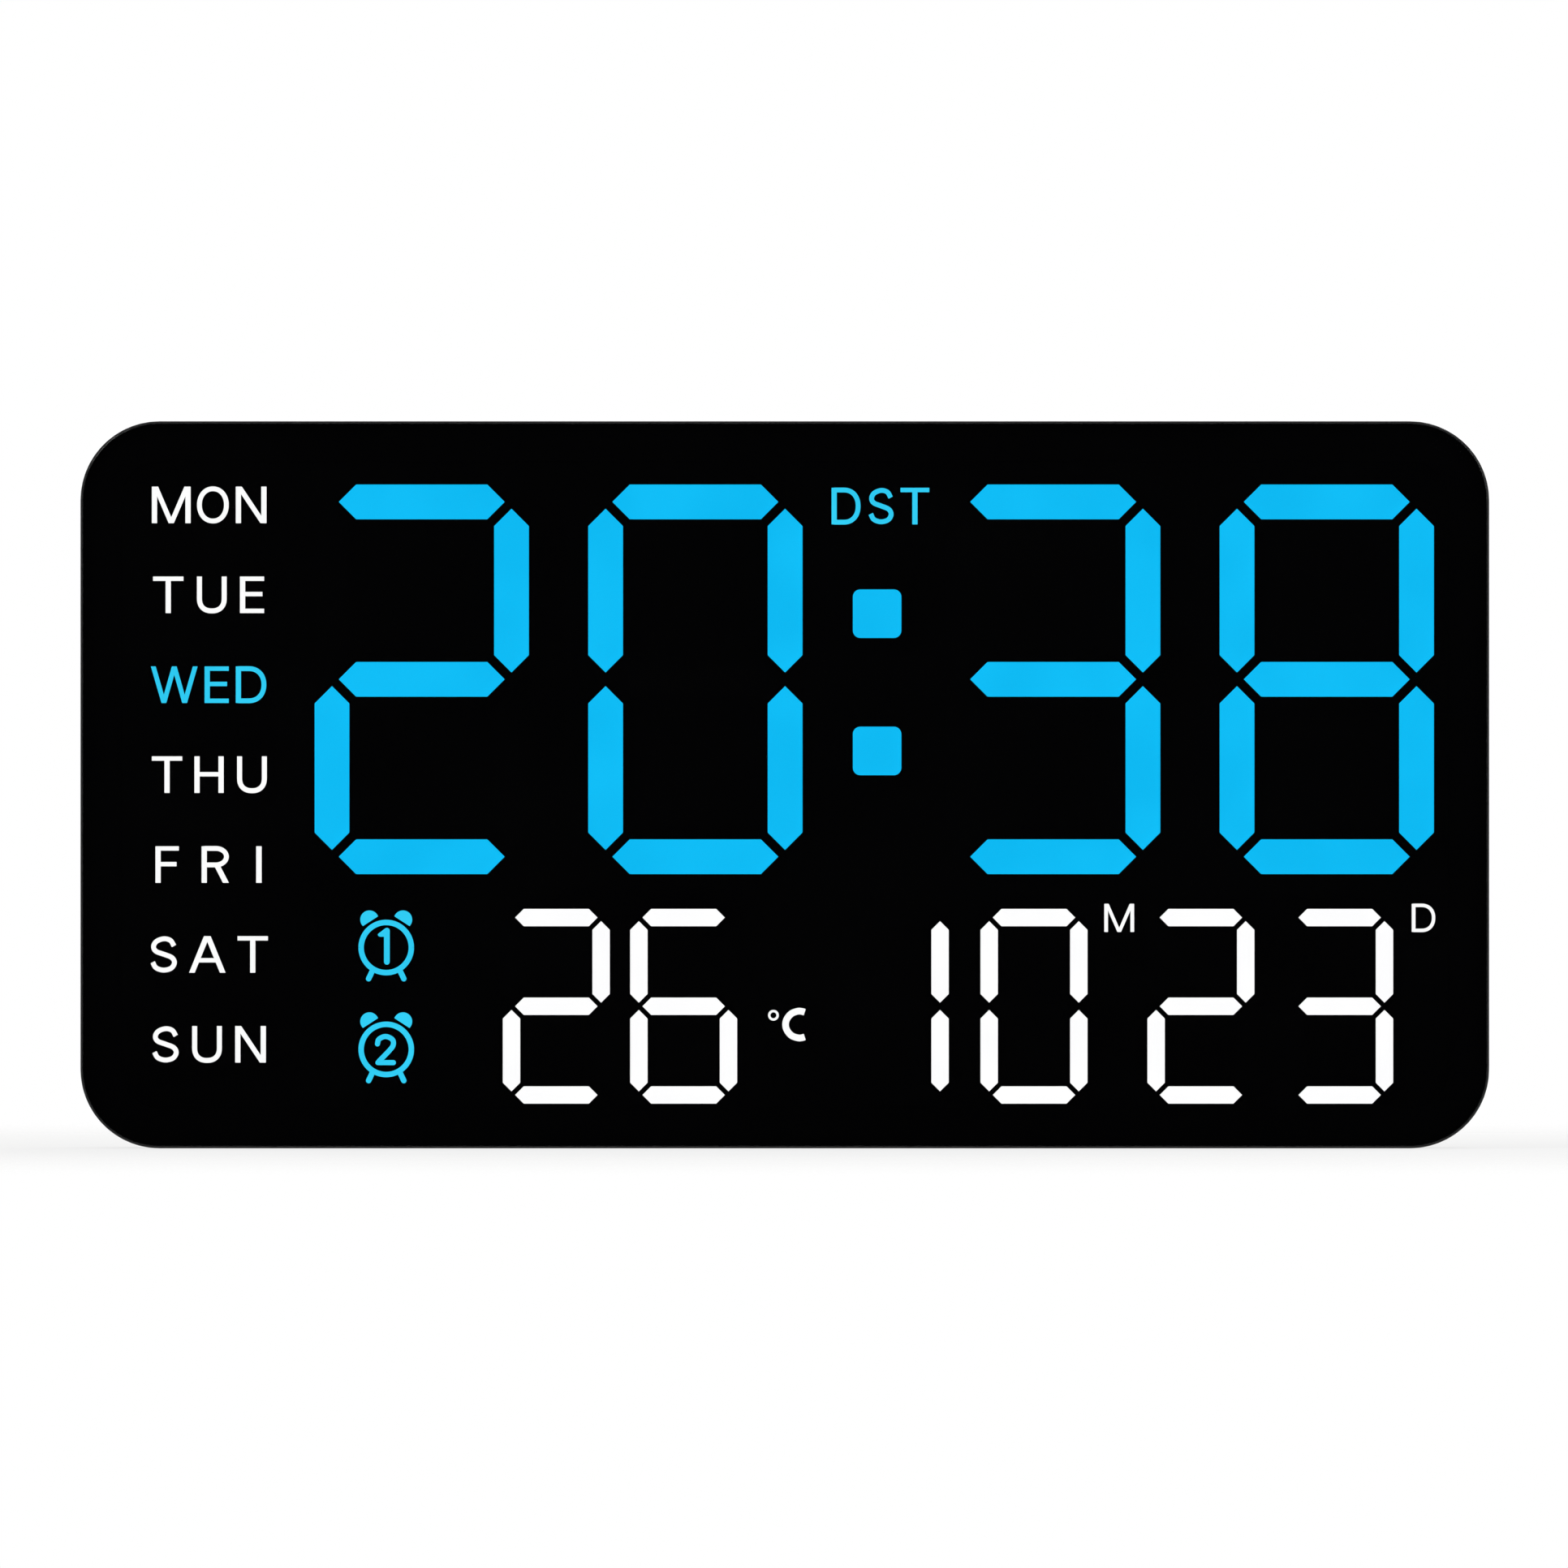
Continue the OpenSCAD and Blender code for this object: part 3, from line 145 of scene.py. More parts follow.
def moulded(name, deep, pale, grain_mm, depth_mm, rough, shine=0.5):
    """A moulded plastic: pigment that drifts between two shades, and the grain that its mould leaves."""
    material, tree, place = begin(name)
    cloud = add(tree, "ShaderNodeTexNoise", {"Vector": place, "Scale": 1 / DRIFT_MM, "Detail": 3})
    drift = add(tree, "ShaderNodeMapRange", {
        "Value": cloud.outputs["Fac"], "From Min": NOISE_LOW, "From Max": NOISE_HIGH,
        "To Min": 1 - DRIFT, "To Max": 1 + DRIFT,
    })
    grain = add(tree, "ShaderNodeTexNoise", {
        "Vector": place, "Scale": 1 / grain_mm, "Detail": 3, "Roughness": 0.6,
    })
    both = add(tree, "ShaderNodeMath", {0: drift.outputs[0], 1: grain.outputs["Fac"]}, operation="MULTIPLY")
    share = add(tree, "ShaderNodeMapRange", {
        "Value": both.outputs[0], "From Min": NOISE_LOW, "From Max": NOISE_HIGH,
    })
    tone = add(tree, "ShaderNodeMix", {
        0: share.outputs[0], 6: linear(deep), 7: linear(pale),
    }, data_type="RGBA")
    dull = add(tree, "ShaderNodeMapRange", {
        "Value": grain.outputs["Fac"], "From Min": NOISE_LOW, "From Max": NOISE_HIGH,
        "To Min": rough - DULL_SPREAD, "To Max": rough + DULL_SPREAD,
    })
    bump = add(tree, "ShaderNodeBump", {
        "Height": grain.outputs["Fac"], "Strength": 1, "Distance": depth_mm * MM,
    })
    surface = add(tree, "ShaderNodeBsdfPrincipled", {
        "Base Color": tone.outputs[2], "Roughness": dull.outputs[0], "IOR": PLASTIC_IOR,
        "Specular IOR Level": shine, "Normal": bump.outputs[0],
    })
    add(tree, "ShaderNodeOutputMaterial", {"Surface": surface.outputs[0]})
    return material


chip_black = moulded("black_moulding_epoxy", "#1A1A1C", "#27272A", grain_mm=0.3, depth_mm=0.01, rough=0.6)
dress(chip_black, "controller_chip", "driver_chips", "temperature_sensor")


# Buzzer, push switches, cell holder and inlet tongue
# Black glass-filled nylon from small polished moulds, all soldered to the back of the board.
# Nylon takes a closer shine than the case: smoother grain, slightly warmer black.

nylon_black = moulded("black_glass_filled_nylon", "#131314", "#1F1E1E", grain_mm=0.4, depth_mm=0.006,
                      rough=0.4)
dress(nylon_black, "buzzer", "push_switches", "cell_holder", "inlet_tongue")
dress(nylon_black, "set_plunger", "up_plunger", "down_plunger", "alarm_plunger")


# Crystal, capacitor, cell, clip, inlet shell and screws
# Drawn aluminium cans, and nickel-plated steel for the cell, its clip, the inlet's folded shell and screws.
# Rolling and turning leave fine streaks, so the gloss runs in lines.

STREAK_W = 0.25  # real streaks are a tenth of this, too fine to show
STREAKS_ALONG = 0.15  # to a millimetre, so that each is about 7 mm long
STREAK_GLOSS, STREAK_DULL = 0.08, 0.1  # how far streaks take the roughness down and up
RECESS_SHADE_FADE, RECESS_SHADE_TONE = 0.03, 0.12  # the depth over which the painted recess shade sets in, and the share of the tone that it keeps


def bare_metal(name, deep, pale, rough, recess_shade_below=None):
    """A bright metal with fine streaks from drawing or turning.

    Below a place along Y, where one is given, the colour is darkened: painted shade in a screw's recess.
    """
    material, tree, place = begin(name)
    drawn = add(tree, "ShaderNodeMapping", {
        "Vector": place, "Scale": (STREAKS_ALONG, 1 / STREAK_W, 1 / STREAK_W),
    }).outputs[0]
    streak = add(tree, "ShaderNodeTexNoise", {"Vector": drawn, "Scale": 1, "Detail": 3})
    tone = add(tree, "ShaderNodeMix", {
        0: streak.outputs["Fac"], 6: linear(deep), 7: linear(pale),
    }, data_type="RGBA").outputs[2]
    dull = add(tree, "ShaderNodeMapRange", {
        "Value": streak.outputs["Fac"], "From Min": NOISE_LOW, "From Max": NOISE_HIGH,
        "To Min": rough - STREAK_GLOSS, "To Max": rough + STREAK_DULL,
    })
    # Painted shade: deeper than the given place along Y, the tone is darkened as if shade filled the screw's
    # recess.
    if recess_shade_below is not None:
        along = add(tree, "ShaderNodeSeparateXYZ", {0: place}).outputs["Y"]
        plated = add(tree, "ShaderNodeMapRange", {
            "Value": along, "From Min": recess_shade_below - RECESS_SHADE_FADE, "From Max": recess_shade_below,
            "To Min": RECESS_SHADE_TONE, "To Max": 1,
        })
        shaded = add(tree, "ShaderNodeVectorMath", {0: tone, "Scale": plated.outputs[0]}, operation="SCALE")
        tone = shaded.outputs[0]
    surface = add(tree, "ShaderNodeBsdfPrincipled", {
        "Base Color": tone, "Metallic": 1, "Roughness": dull.outputs[0],
    })
    add(tree, "ShaderNodeOutputMaterial", {"Surface": surface.outputs[0]})
    return material


aluminium = bare_metal("drawn_aluminium_can", "#B9BBBE", "#D4D6D8", rough=0.32)
NICKEL_DEEP, NICKEL_PALE, NICKEL_ROUGH = "#9C9B98", "#C3C2BE", 0.28
nickel = bare_metal("nickel_plated_steel", NICKEL_DEEP, NICKEL_PALE, NICKEL_ROUGH)
dress(aluminium, "clock_crystal", "storage_capacitor")
dress(nickel, "inlet_shell", "cell_clip", "coin_cell", "board_screws")
HEAD_ROUND = 0.6  # the heads' edge is rounded this far down, and the recess goes deeper
# Below the heads' rounded edge, the screws' recesses are darkened with painted shade.
for screws in ("case_screws", "hatch_screw"):
    head_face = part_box(screws)[1].y / MM
    finish = bare_metal(f"nickel_plated_{screws}", NICKEL_DEEP, NICKEL_PALE, NICKEL_ROUGH,
                        recess_shade_below=head_face - HEAD_ROUND)
    dress(finish, screws)


# Inlet contacts
# Gold-plated strips on both faces of the inlet's tongue, pressed from phosphor bronze and moulded in.
# Twelve to a face at the connector's 0.5 mm pitch; one strip is drawn and the tree repeats it.

CONTACTS, CONTACT_PITCH, CONTACT_W, CONTACT_L, CONTACT_T = 12, 0.5, 0.26, 3.6, 0.05
CONTACT_BACK = 0.35  # from the tongue's tip
CONTACT_COIN = 0.015  # the edges that the plug meets are pressed off by this
TONGUE_T = 0.7  # the tongue is thinner than its node's box, whose height is the insulator's

# Soft plating that plugs have wiped: a warm shine in uneven patches.
WIPED_MM = 0.5
gold, tree, place = begin("gold_plated_bronze")
wiped = add(tree, "ShaderNodeTexNoise", {"Vector": place, "Scale": 1 / WIPED_MM, "Detail": 2})
tone = add(tree, "ShaderNodeMix", {
    0: wiped.outputs["Fac"], 6: linear("#B98A35"), 7: linear("#E3BE6C"),
}, data_type="RGBA")
surface = add(tree, "ShaderNodeBsdfPrincipled", {
    "Base Color": tone.outputs[2], "Metallic": 1, "Roughness": 0.24,
})
add(tree, "ShaderNodeOutputMaterial", {"Surface": surface.outputs[0]})

WELD_MM = 1e-5  # points closer than this are one


def flat_piece(name, material, outlines, back, front):
    """A piece of even thickness between two places along Y, from flat shapes that merge where they meet."""
    points, faces = [], []
    for outline in outlines:
        area = sum(a.x * b.y - b.x * a.y for a, b in zip(outline, outline[1:] + outline[:1]))
        faces.append(list(range(len(points), len(points) + len(outline))))
        points += outline if area > 0 else outline[::-1]
    points, _, triangles, _, _, within = delaunay_2d_cdt(points, [], faces, 0, WELD_MM)
    kept = [tuple(corners) for corners, owners in zip(triangles, within) if owners]
    sides = Counter(pair for t in kept for pair in zip(t, t[1:] + t[:1]))
    mesh = bmesh.new()
    near = [mesh.verts.new((p.x * MM, front * MM, p.y * MM)) for p in points]
    far = [mesh.verts.new((p.x * MM, back * MM, p.y * MM)) for p in points]
    for t in kept:
        mesh.faces.new([near[i] for i in t])
        mesh.faces.new([far[i] for i in reversed(t)])
    for a, b in sides:
        if (b, a) not in sides:
            mesh.faces.new([near[b], near[a], far[a], far[b]])
    bmesh.ops.delete(mesh, geom=[v for v in mesh.verts if not v.link_faces], context="VERTS")
    bmesh.ops.recalc_face_normals(mesh, faces=mesh.faces)
    data = bpy.data.meshes.new(name)
    mesh.to_mesh(data)
    mesh.free()
    data.materials.append(material)
    piece = bpy.data.objects.new(name, data)
    bpy.context.scene.collection.objects.link(piece)
    return piece


def corners(*places):
    """Flat points from pairs of numbers."""
    return [Vector(p) for p in places]


half_w, half_t = CONTACT_W / 2, CONTACT_T / 2
strip = corners(
    (-half_w, -half_t), (half_w, -half_t), (half_w, half_t - CONTACT_COIN), (half_w - CONTACT_COIN, half_t),
    (CONTACT_COIN - half_w, half_t), (-half_w, half_t - CONTACT_COIN),
)
low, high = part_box("inlet_tongue")
contact_end = high.y / MM - CONTACT_BACK
contacts = flat_piece("inlet_contacts", gold, [strip], contact_end, contact_end - CONTACT_L)

rows = bpy.data.node_groups.new("contact_rows", "GeometryNodeTree")
sockets = {}
for name, kind in (
    ("Strip", "NodeSocketGeometry"), ("Contacts", "NodeSocketInt"), ("Row width", "NodeSocketFloat"),
    ("Row gap", "NodeSocketFloat"), ("Centre", "NodeSocketVector"), ("Finish", "NodeSocketMaterial"),
):
    sockets[name] = rows.interface.new_socket(name, in_out="INPUT", socket_type=kind)
rows.interface.new_socket("Strips", in_out="OUTPUT", socket_type="NodeSocketGeometry")
given = add(rows, "NodeGroupInput").outputs
grid = add(rows, "GeometryNodeMeshGrid", {
    "Size X": given["Row width"], "Size Y": given["Row gap"],
    "Vertices X": given["Contacts"], "Vertices Y": 2,
})
stood = add(rows, "GeometryNodeTransform", {
    "Geometry": grid.outputs["Mesh"], "Translation": given["Centre"], "Rotation": (math.pi / 2, 0, 0),
})
laid = add(rows, "GeometryNodeInstanceOnPoints", {"Points": stood.outputs[0], "Instance": given["Strip"]})
real = add(rows, "GeometryNodeRealizeInstances", {"Geometry": laid.outputs[0]})
plated = add(rows, "GeometryNodeSetMaterial", {"Geometry": real.outputs[0], "Material": given["Finish"]})
add(rows, "NodeGroupOutput", {"Strips": plated.outputs[0]})

repeat = contacts.modifiers.new("rows", "NODES")
repeat.node_group = rows
for name, value in {
    "Contacts": CONTACTS, "Row width": (CONTACTS - 1) * CONTACT_PITCH * MM,
    "Row gap": (TONGUE_T + CONTACT_T) * MM, "Centre": ((low.x + high.x) / 2, 0, (low.z + high.z) / 2),
    "Finish": gold,
}.items():
    repeat[sockets[name].identifier] = value
contacts.data = bpy.data.meshes.new_from_object(contacts.evaluated_get(bpy.context.evaluated_depsgraph_get()))
contacts.modifiers.clear()
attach(contacts, "case")


# Plus sign on the coin cell
# The sign of the pole, pressed up in the can's steel when the can is drawn.
# It stands above the clip's strap, where it shows once the hatch is off.

PLUS_ARM, PLUS_STROKE, PLUS_RISE, PLUS_UP = 1.5, 0.5, 0.06, 6
low, high = (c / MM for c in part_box("coin_cell"))
plus_x, plus_z, plus_y = (low.x + high.x) / 2, (low.z + high.z) / 2 + PLUS_UP, high.y
half = PLUS_STROKE / 2
across = corners((-PLUS_ARM, -half), (PLUS_ARM, -half), (PLUS_ARM, half), (-PLUS_ARM, half))
upright = [p.yx for p in across]
plus = [[p + Vector((plus_x, plus_z)) for p in arm] for arm in (across, upright)]
cell_sign = flat_piece("cell_plus_sign", nickel, plus, plus_y + PLUS_RISE, plus_y)
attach(cell_sign, "case")


# Reflector
# One white polycarbonate moulding with a stepped well behind each bar and a light box behind each word.
# A matt white mould face, so that the wells spread the light evenly.

white_polycarbonate = moulded("white_polycarbonate", "#E2E2DC", "#F2F2EE", grain_mm=0.5, depth_mm=0.008,
                              rough=0.5)
dress(white_polycarbonate, "reflector")


# Light bars
# Milky acrylic bars that sit on the ledges of the wells; the lit ones show the time, temperature and date.
# Light comes out of them a little unevenly, brightest over each LED.

LENS_TINT = 0.35  # share of the light that each face of the smoked lens takes away
BEHIND_LENS = 1 / (1 - LENS_TINT) ** 2


def lit(name, colour, dimmer, spread_mm):
    """A milky plastic lit from behind, bright enough to reach its written colour through the smoked lens."""
    material, tree, place = begin(name)
    cloud = add(tree, "ShaderNodeTexNoise", {"Vector": place, "Scale": 1 / spread_mm, "Detail": 1})
    even = add(tree, "ShaderNodeMapRange", {
        "Value": cloud.outputs["Fac"], "From Min": 0.35, "From Max": 0.65,
    })
    tone = add(tree, "ShaderNodeMix", {
        0: even.outputs[0], 6: linear(dimmer), 7: linear(colour),
    }, data_type="RGBA")
    surface = add(tree, "ShaderNodeBsdfPrincipled", {
        "Base Color": linear("#0A0C0D"), "Roughness": 0.5, "Specular IOR Level": 0.05,
        "Emission Color": tone.outputs[2], "Emission Strength": BEHIND_LENS,
    })
    add(tree, "ShaderNodeOutputMaterial", {"Surface": surface.outputs[0]})
    return material


lit_blue = lit("milky_acrylic_lit_blue", "#0FBEF7", "#0CB9F2", spread_mm=14)
lit_white = lit("milky_acrylic_lit_white", "#FFFFFF", "#FDFDFE", spread_mm=8)
dress(lit_blue, "lit_time_bars")
dress(lit_white, "lit_small_bars")

# The unlit bars are cast from smoked resin, so they vanish into the mask behind the lens.
smoked_resin = moulded("smoked_resin_unlit", "#08080A", "#0C0C0E", grain_mm=0.5, depth_mm=0.004, rough=0.6,
                       shine=0.03)
dress(smoked_resin, "unlit_bars")


# Display mask
# A black polyester film, die-cut with one window for each bar and dot and laid on the reflector's face.
# Its dull side faces out, so that nothing but the light shows.

mask_film = moulded("black_polyester_film", "#050506", "#09090A", grain_mm=0.6, depth_mm=0.003, rough=0.75,
                    shine=0.03)
dress(mask_film, "display_mask")


# Words and signs
# Weekday names, the summer-time word, the degree and date marks and two alarm signs, each a translucent
# ink patch on the mask's face over its own light box. All are plain single-stroke capitals.

INK_T = 0.1
low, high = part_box("display_mask")
mask_face = low.y / MM


def stroke(points, width):
    """The outline of a line of even width through some points, cut square at both ends."""
    left, right = [], []
    for i, point in enumerate(points):
        along = (points[min(i + 1, len(points) - 1)] - points[max(i - 1, 0)]).normalized()
        side = Vector((-along.y, along.x)) * width / 2
        left.append(point + side)
        right.append(point - side)
    return left + right[::-1]


def bar(x0, z0, x1, z1, width):
    """The outline of one straight stroke."""
    return stroke(corners((x0, z0), (x1, z1)), width)


def slant(low_x, high_x, bottom, top, width):
    """The outline of a slanting stroke that is cut level at both ends."""
    reach = width / 2 * math.hypot(1, (high_x - low_x) / (top - bottom))
    return corners(
        (low_x - reach, bottom), (low_x + reach, bottom), (high_x + reach, top), (high_x - reach, top),
    )


def arc(x, z, across, up, start, end, steps=32, fullness=2):
    """Points along an oval about (x, z), between two angles in degrees. A fullness above 2 squares it."""
    turns = [math.radians(start + (end - start) * i / steps) for i in range(steps + 1)]
    sides = [(math.cos(a), math.sin(a)) for a in turns]
    full = [[math.copysign(abs(v) ** (2 / fullness), v) for v in side] for side in sides]
    return [Vector((x + across * c, z + up * u)) for c, u in full]


def ring(x, z, across, up, width):
    """The outlines of an oval ring, in two halves."""
    return [stroke(arc(x, z, across, up, a, a + 180), width) for a in (0, 180)]


def smooth(points, steps=6):
    """A smooth line through some points."""
    held = [2 * points[0] - points[1], *points, 2 * points[-1] - points[-2]]
    line = []
    for a, b, c, d in zip(held, held[1:], held[2:], held[3:]):
        for t in (i / steps for i in range(steps)):
            line.append(0.5 * (2 * b + (c - a) * t + (2 * a - 5 * b + 4 * c - d) * t ** 2
                               + (3 * b - a - 3 * c + d) * t ** 3))
    return line + [points[-1]]


# Middle lines of the two curved letters, in shares of their width and height.
S_LINE = ((0.96, 0.77), (0.80, 0.945), (0.50, 1), (0.17, 0.915), (0.04, 0.75), (0.15, 0.60), (0.50, 0.505),
          (0.86, 0.40), (0.98, 0.235), (0.83, 0.06), (0.48, 0), (0.15, 0.075), (0, 0.25))
C_LINE = ((1, 0.86), (0.88, 0.885), (0.7, 0.89), (0.42, 0.82), (0.22, 0.66), (0.165, 0.5), (0.22, 0.34),
          (0.42, 0.18), (0.7, 0.11), (0.88, 0.115), (1, 0.14))
LEVEL_SHARE, BOW_SHARE = 0.84, 0.92  # level strokes and bows are thinner than stems


def capital(sign, w, h, s):
    """The outlines of a capital in a box of width w and height h, with stems s wide."""
    # Widths of level strokes and bows, then the middles of the left and right stems, the sill and the roof.
    v, b = LEVEL_SHARE * s, BOW_SHARE * s
    e, r, low, top = s / 2, w - s / 2, v / 2, h - v / 2
    stem, far_stem = bar(e, 0, e, h, s), bar(r, 0, r, h, s)
    roof = bar(0, top, w, top, v)
    if sign == "A":
        return [slant(0.55 * s, w / 2 - 0.1 * s, 0, h, s), slant(w - 0.55 * s, w / 2 + 0.1 * s, 0, h, s),
                bar(0.24 * w, 0.34 * h, 0.76 * w, 0.34 * h, v)]
    if sign == "C":
        return [stroke(smooth(corners(*((i * w, j * h) for i, j in C_LINE))), s)]
    if sign == "D":
        bow = arc(0.42 * w, h / 2, r - 0.42 * w, top - h / 2, 90, -90, fullness=2.2)
        return [stem, stroke(corners((e, top)) + bow + corners((e, low)), b)]
    if sign == "E":
        return [stem, roof, bar(e, 0.52 * h, 0.93 * w, 0.52 * h, v), bar(e, low, w, low, v)]
    if sign == "F":
        return [stem, roof, bar(e, 0.51 * h, 0.9 * w, 0.51 * h, v)]
    if sign == "H":
        return [stem, far_stem, bar(e, 0.51 * h, r, 0.51 * h, v)]
    if sign == "I":
        return [bar(w / 2, 0, w / 2, h, w)]
    if sign == "M":
        return [stem, far_stem, slant(w / 2, 0.7 * s, 0, h, 0.9 * s),
                slant(w / 2, w - 0.7 * s, 0, h, 0.9 * s)]
    if sign == "N":
        return [stem, far_stem, slant(w - 0.6 * s, 0.6 * s, 0, h, b)]
    if sign == "O":
        across, up = r - w / 2, top - h / 2
        halves = [arc(w / 2, h / 2, across, up, turn, turn + 180, fullness=2.1) for turn in (0, 180)]
        return [stroke(half, b) for half in halves]
    if sign == "R":
        waist, middle = 0.49 * h, (top + 0.49 * h) / 2
        bow = arc(0.52 * w, middle, r - 0.52 * w, top - middle, 90, -90)
        return [stem, stroke(corners((e, top)) + bow + corners((e, waist)), b),
                slant(w - 0.6 * s, 0.55 * w, 0, waist, s)]
    if sign == "S":
        return [stroke(smooth(corners(*((e + i * (w - s), e + j * (h - s)) for i, j in S_LINE))), b)]
    if sign == "T":
        return [roof, bar(w / 2, 0, w / 2, h, s)]
    if sign == "U":
        bow = arc(w / 2, low + r - w / 2, r - w / 2, r - w / 2, 180, 360, fullness=2.3)
        return [stroke(corners((e, h)) + bow + corners((r, h)), 0.95 * s)]
    if sign == "W":
        foot, thin = 0.28 * w, 0.88 * s
        return [slant(foot, 0.5 * s, 0, h, thin), slant(foot, w / 2, 0, h, thin),
                slant(w - foot, w / 2, 0, h, thin), slant(w - foot, w - 0.5 * s, 0, h, thin)]
    raise ValueError(sign)


# Each letter's width as a share of its height.
LETTER_W = {
    "A": 1, "C": 0.67, "D": 0.84, "E": 0.66, "F": 0.64, "H": 0.8, "I": 0.15, "M": 1.06, "N": 0.84, "O": 0.88,
    "R": 0.75, "S": 0.75, "T": 0.83, "U": 0.82, "W": 1.29,
}


def word(letters, lefts, base, height, stem, spread=1):
    """The outlines of a word on its base line; each letter starts at its own left edge."""
    outlines = []
    for sign, left in zip(letters, lefts):
        shapes = capital(sign, LETTER_W[sign] * height * spread, height, stem)
        outlines += [[p + Vector((left, base)) for p in shape] for shape in shapes]
    return outlines


CAP_H, WORD_STROKE = 6.1, 0.87
DAY_BASE, DAY_PITCH = 8, 15
DAYS = {
    "MON": (-105.6, -98.1, -91.6), "TUE": (-105.4, -98.1, -90.9), "WED": (-105.8, -96.8, -91.6),
    "THU": (-105.6, -98.5, -91.4), "FRI": (-105, -97.3, -88.2), "SAT": (-105.9, -99.4, -91.3),
    "SUN": (-105.6, -98.9, -91.7),
}
LIT_DAY = "WED"
SUMMER_LEFTS, SUMMER_BASE, SUMMER_SPREAD = (7.8, 13.9, 19.3), 7.8, 0.95
DEGREE_X, DEGREE_Z, DEGREE_R, DEGREE_STROKE = -1.9, -74.1, 0.7, 0.4
UNIT_LEFT, UNIT_BASE, UNIT_H, UNIT_STROKE = -0.5, -78.5, 5.7, 1.1
MARK_LEFTS, MARK_BASE, MARK_H, MARK_STROKE = (53.3, 104.6), -60.2, 4.7, 0.62

# Translucent ink glows a little paler than the bars, because its patch is thin.
blue_ink = lit("translucent_blue_ink_lit", "#33CFF6", "#2DC8F0", spread_mm=10)
white_ink = lit("translucent_white_ink_lit", "#FFFFFF", "#FAFBFB", spread_mm=10)

day_names = {
    name: word(name, lefts, DAY_BASE - row * DAY_PITCH, CAP_H, WORD_STROKE)
    for row, (name, lefts) in enumerate(DAYS.items())
}
summer_word = word("DST", SUMMER_LEFTS, SUMMER_BASE, CAP_H, WORD_STROKE, SUMMER_SPREAD)
blue_words = day_names.pop(LIT_DAY) + summer_word
white_days = [outline for name in day_names.values() for outline in name]
degree = ring(DEGREE_X, DEGREE_Z, DEGREE_R, DEGREE_R, DEGREE_STROKE)
degree += word("C", [UNIT_LEFT], UNIT_BASE, UNIT_H, UNIT_STROKE)
date_marks = word("MD", MARK_LEFTS, MARK_BASE, MARK_H, MARK_STROKE)

DOT_SIDES = 24


def dot(x, z, radius):
    """The outline of a round dot."""
    return arc(x, z, radius, radius, 0, 360 - 360 / DOT_SIDES, DOT_SIDES - 1)


def mirrored(outline):
    """An outline turned over, left to right."""
    return [Vector((-p.x, p.y)) for p in outline]


# The alarm sign: a ringed face on two feet under two bells, drawn about the middle of its ring.
# Bars and lines end in dots, so that their ends are round.
SIGN_STROKE, FACE_R, BELL_R = 0.9, 4.19, 1.53
foot = [bar(-2.2, -3.65, -2.93, -5.2, SIGN_STROKE), dot(-2.93, -5.2, SIGN_STROKE / 2)]
bell = arc(-2.8, 4.66, BELL_R, BELL_R, 20.9, 224.7)
alarm_body = ring(0, 0, FACE_R, FACE_R, SIGN_STROKE) + foot + [bell] + [mirrored(o) for o in foot + [bell]]
ONE_STROKE, TWO_STROKE = 0.96, 0.84
figure_one = [
    bar(0.11, 2.8, 0.11, -2.38, ONE_STROKE), dot(0.11, 2.8, ONE_STROKE / 2), dot(0.11, -2.38, ONE_STROKE / 2),
    corners((-1.4, 2.25), (-0.2, 3.17), (0.3, 3.05), (0.3, 1.8), (-1.05, 1.8), (-1.34, 1.95)),
]
two_line = smooth(corners(
    (-1.46, 0.92), (-1.2, 1.72), (-0.1, 2.16), (1.0, 1.68), (1.18, 0.8), (0.6, -0.1), (-1.28, -2.05),
))
figure_two = [
    stroke(two_line, TWO_STROKE), bar(-1.38, -2.2, 1.2, -2.2, TWO_STROKE), dot(-1.46, 0.92, TWO_STROKE / 2),
    dot(-1.38, -2.2, TWO_STROKE / 2), dot(1.2, -2.2, TWO_STROKE / 2),
]
SIGN_X, SIGN_ONE_Z, SIGN_TWO_Z = -66.5, -62.8, -79.8
alarm_signs = [[p + Vector((SIGN_X, SIGN_ONE_Z)) for p in o] for o in alarm_body + figure_one]
alarm_signs += [[p + Vector((SIGN_X, SIGN_TWO_Z)) for p in o] for o in alarm_body + figure_two]

for name, ink, outlines, slot in (
    ("weekday_names", white_ink, white_days, "lit_white"), ("blue_words", blue_ink, blue_words, "lit_blue"),
    ("degree_mark", white_ink, degree, "lit_white"), ("date_marks", white_ink, date_marks, "lit_white"),
    ("alarm_signs", blue_ink, alarm_signs, "lit_blue"),
):
    patch = flat_piece(name, ink, outlines, mask_face, mask_face - INK_T)
    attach(patch, "case")


# Case
# A front frame and a rear cover, both injection-moulded in black ABS and screwed together from behind.
# The moulds are spark-eroded: an even grain that breaks up every highlight.

SPARK_GRAIN_MM = 0.9  # the real grain is about 0.2 mm wide, too fine to show
black_abs = moulded("black_abs_spark_grain", "#0A0A0B", "#343436", grain_mm=SPARK_GRAIN_MM, depth_mm=0.1,
                    rough=0.5, shine=0.3)
dress(black_abs, "front_frame", "rear_cover")


# Lens and its tape
# A 2 mm sheet of smoked acrylic with rounded edges covers the whole front, stuck down with black foam tape.
# The sheet is polished: deep black, with a clean mirror shine and hardly a smear.

# Cut cells make the tape's edge dull and speckled.
foam = moulded("black_foam_tape", "#0E0E0E", "#1A1A1A", grain_mm=0.35, depth_mm=0.06, rough=0.85)
dress(foam, "lens_tape")

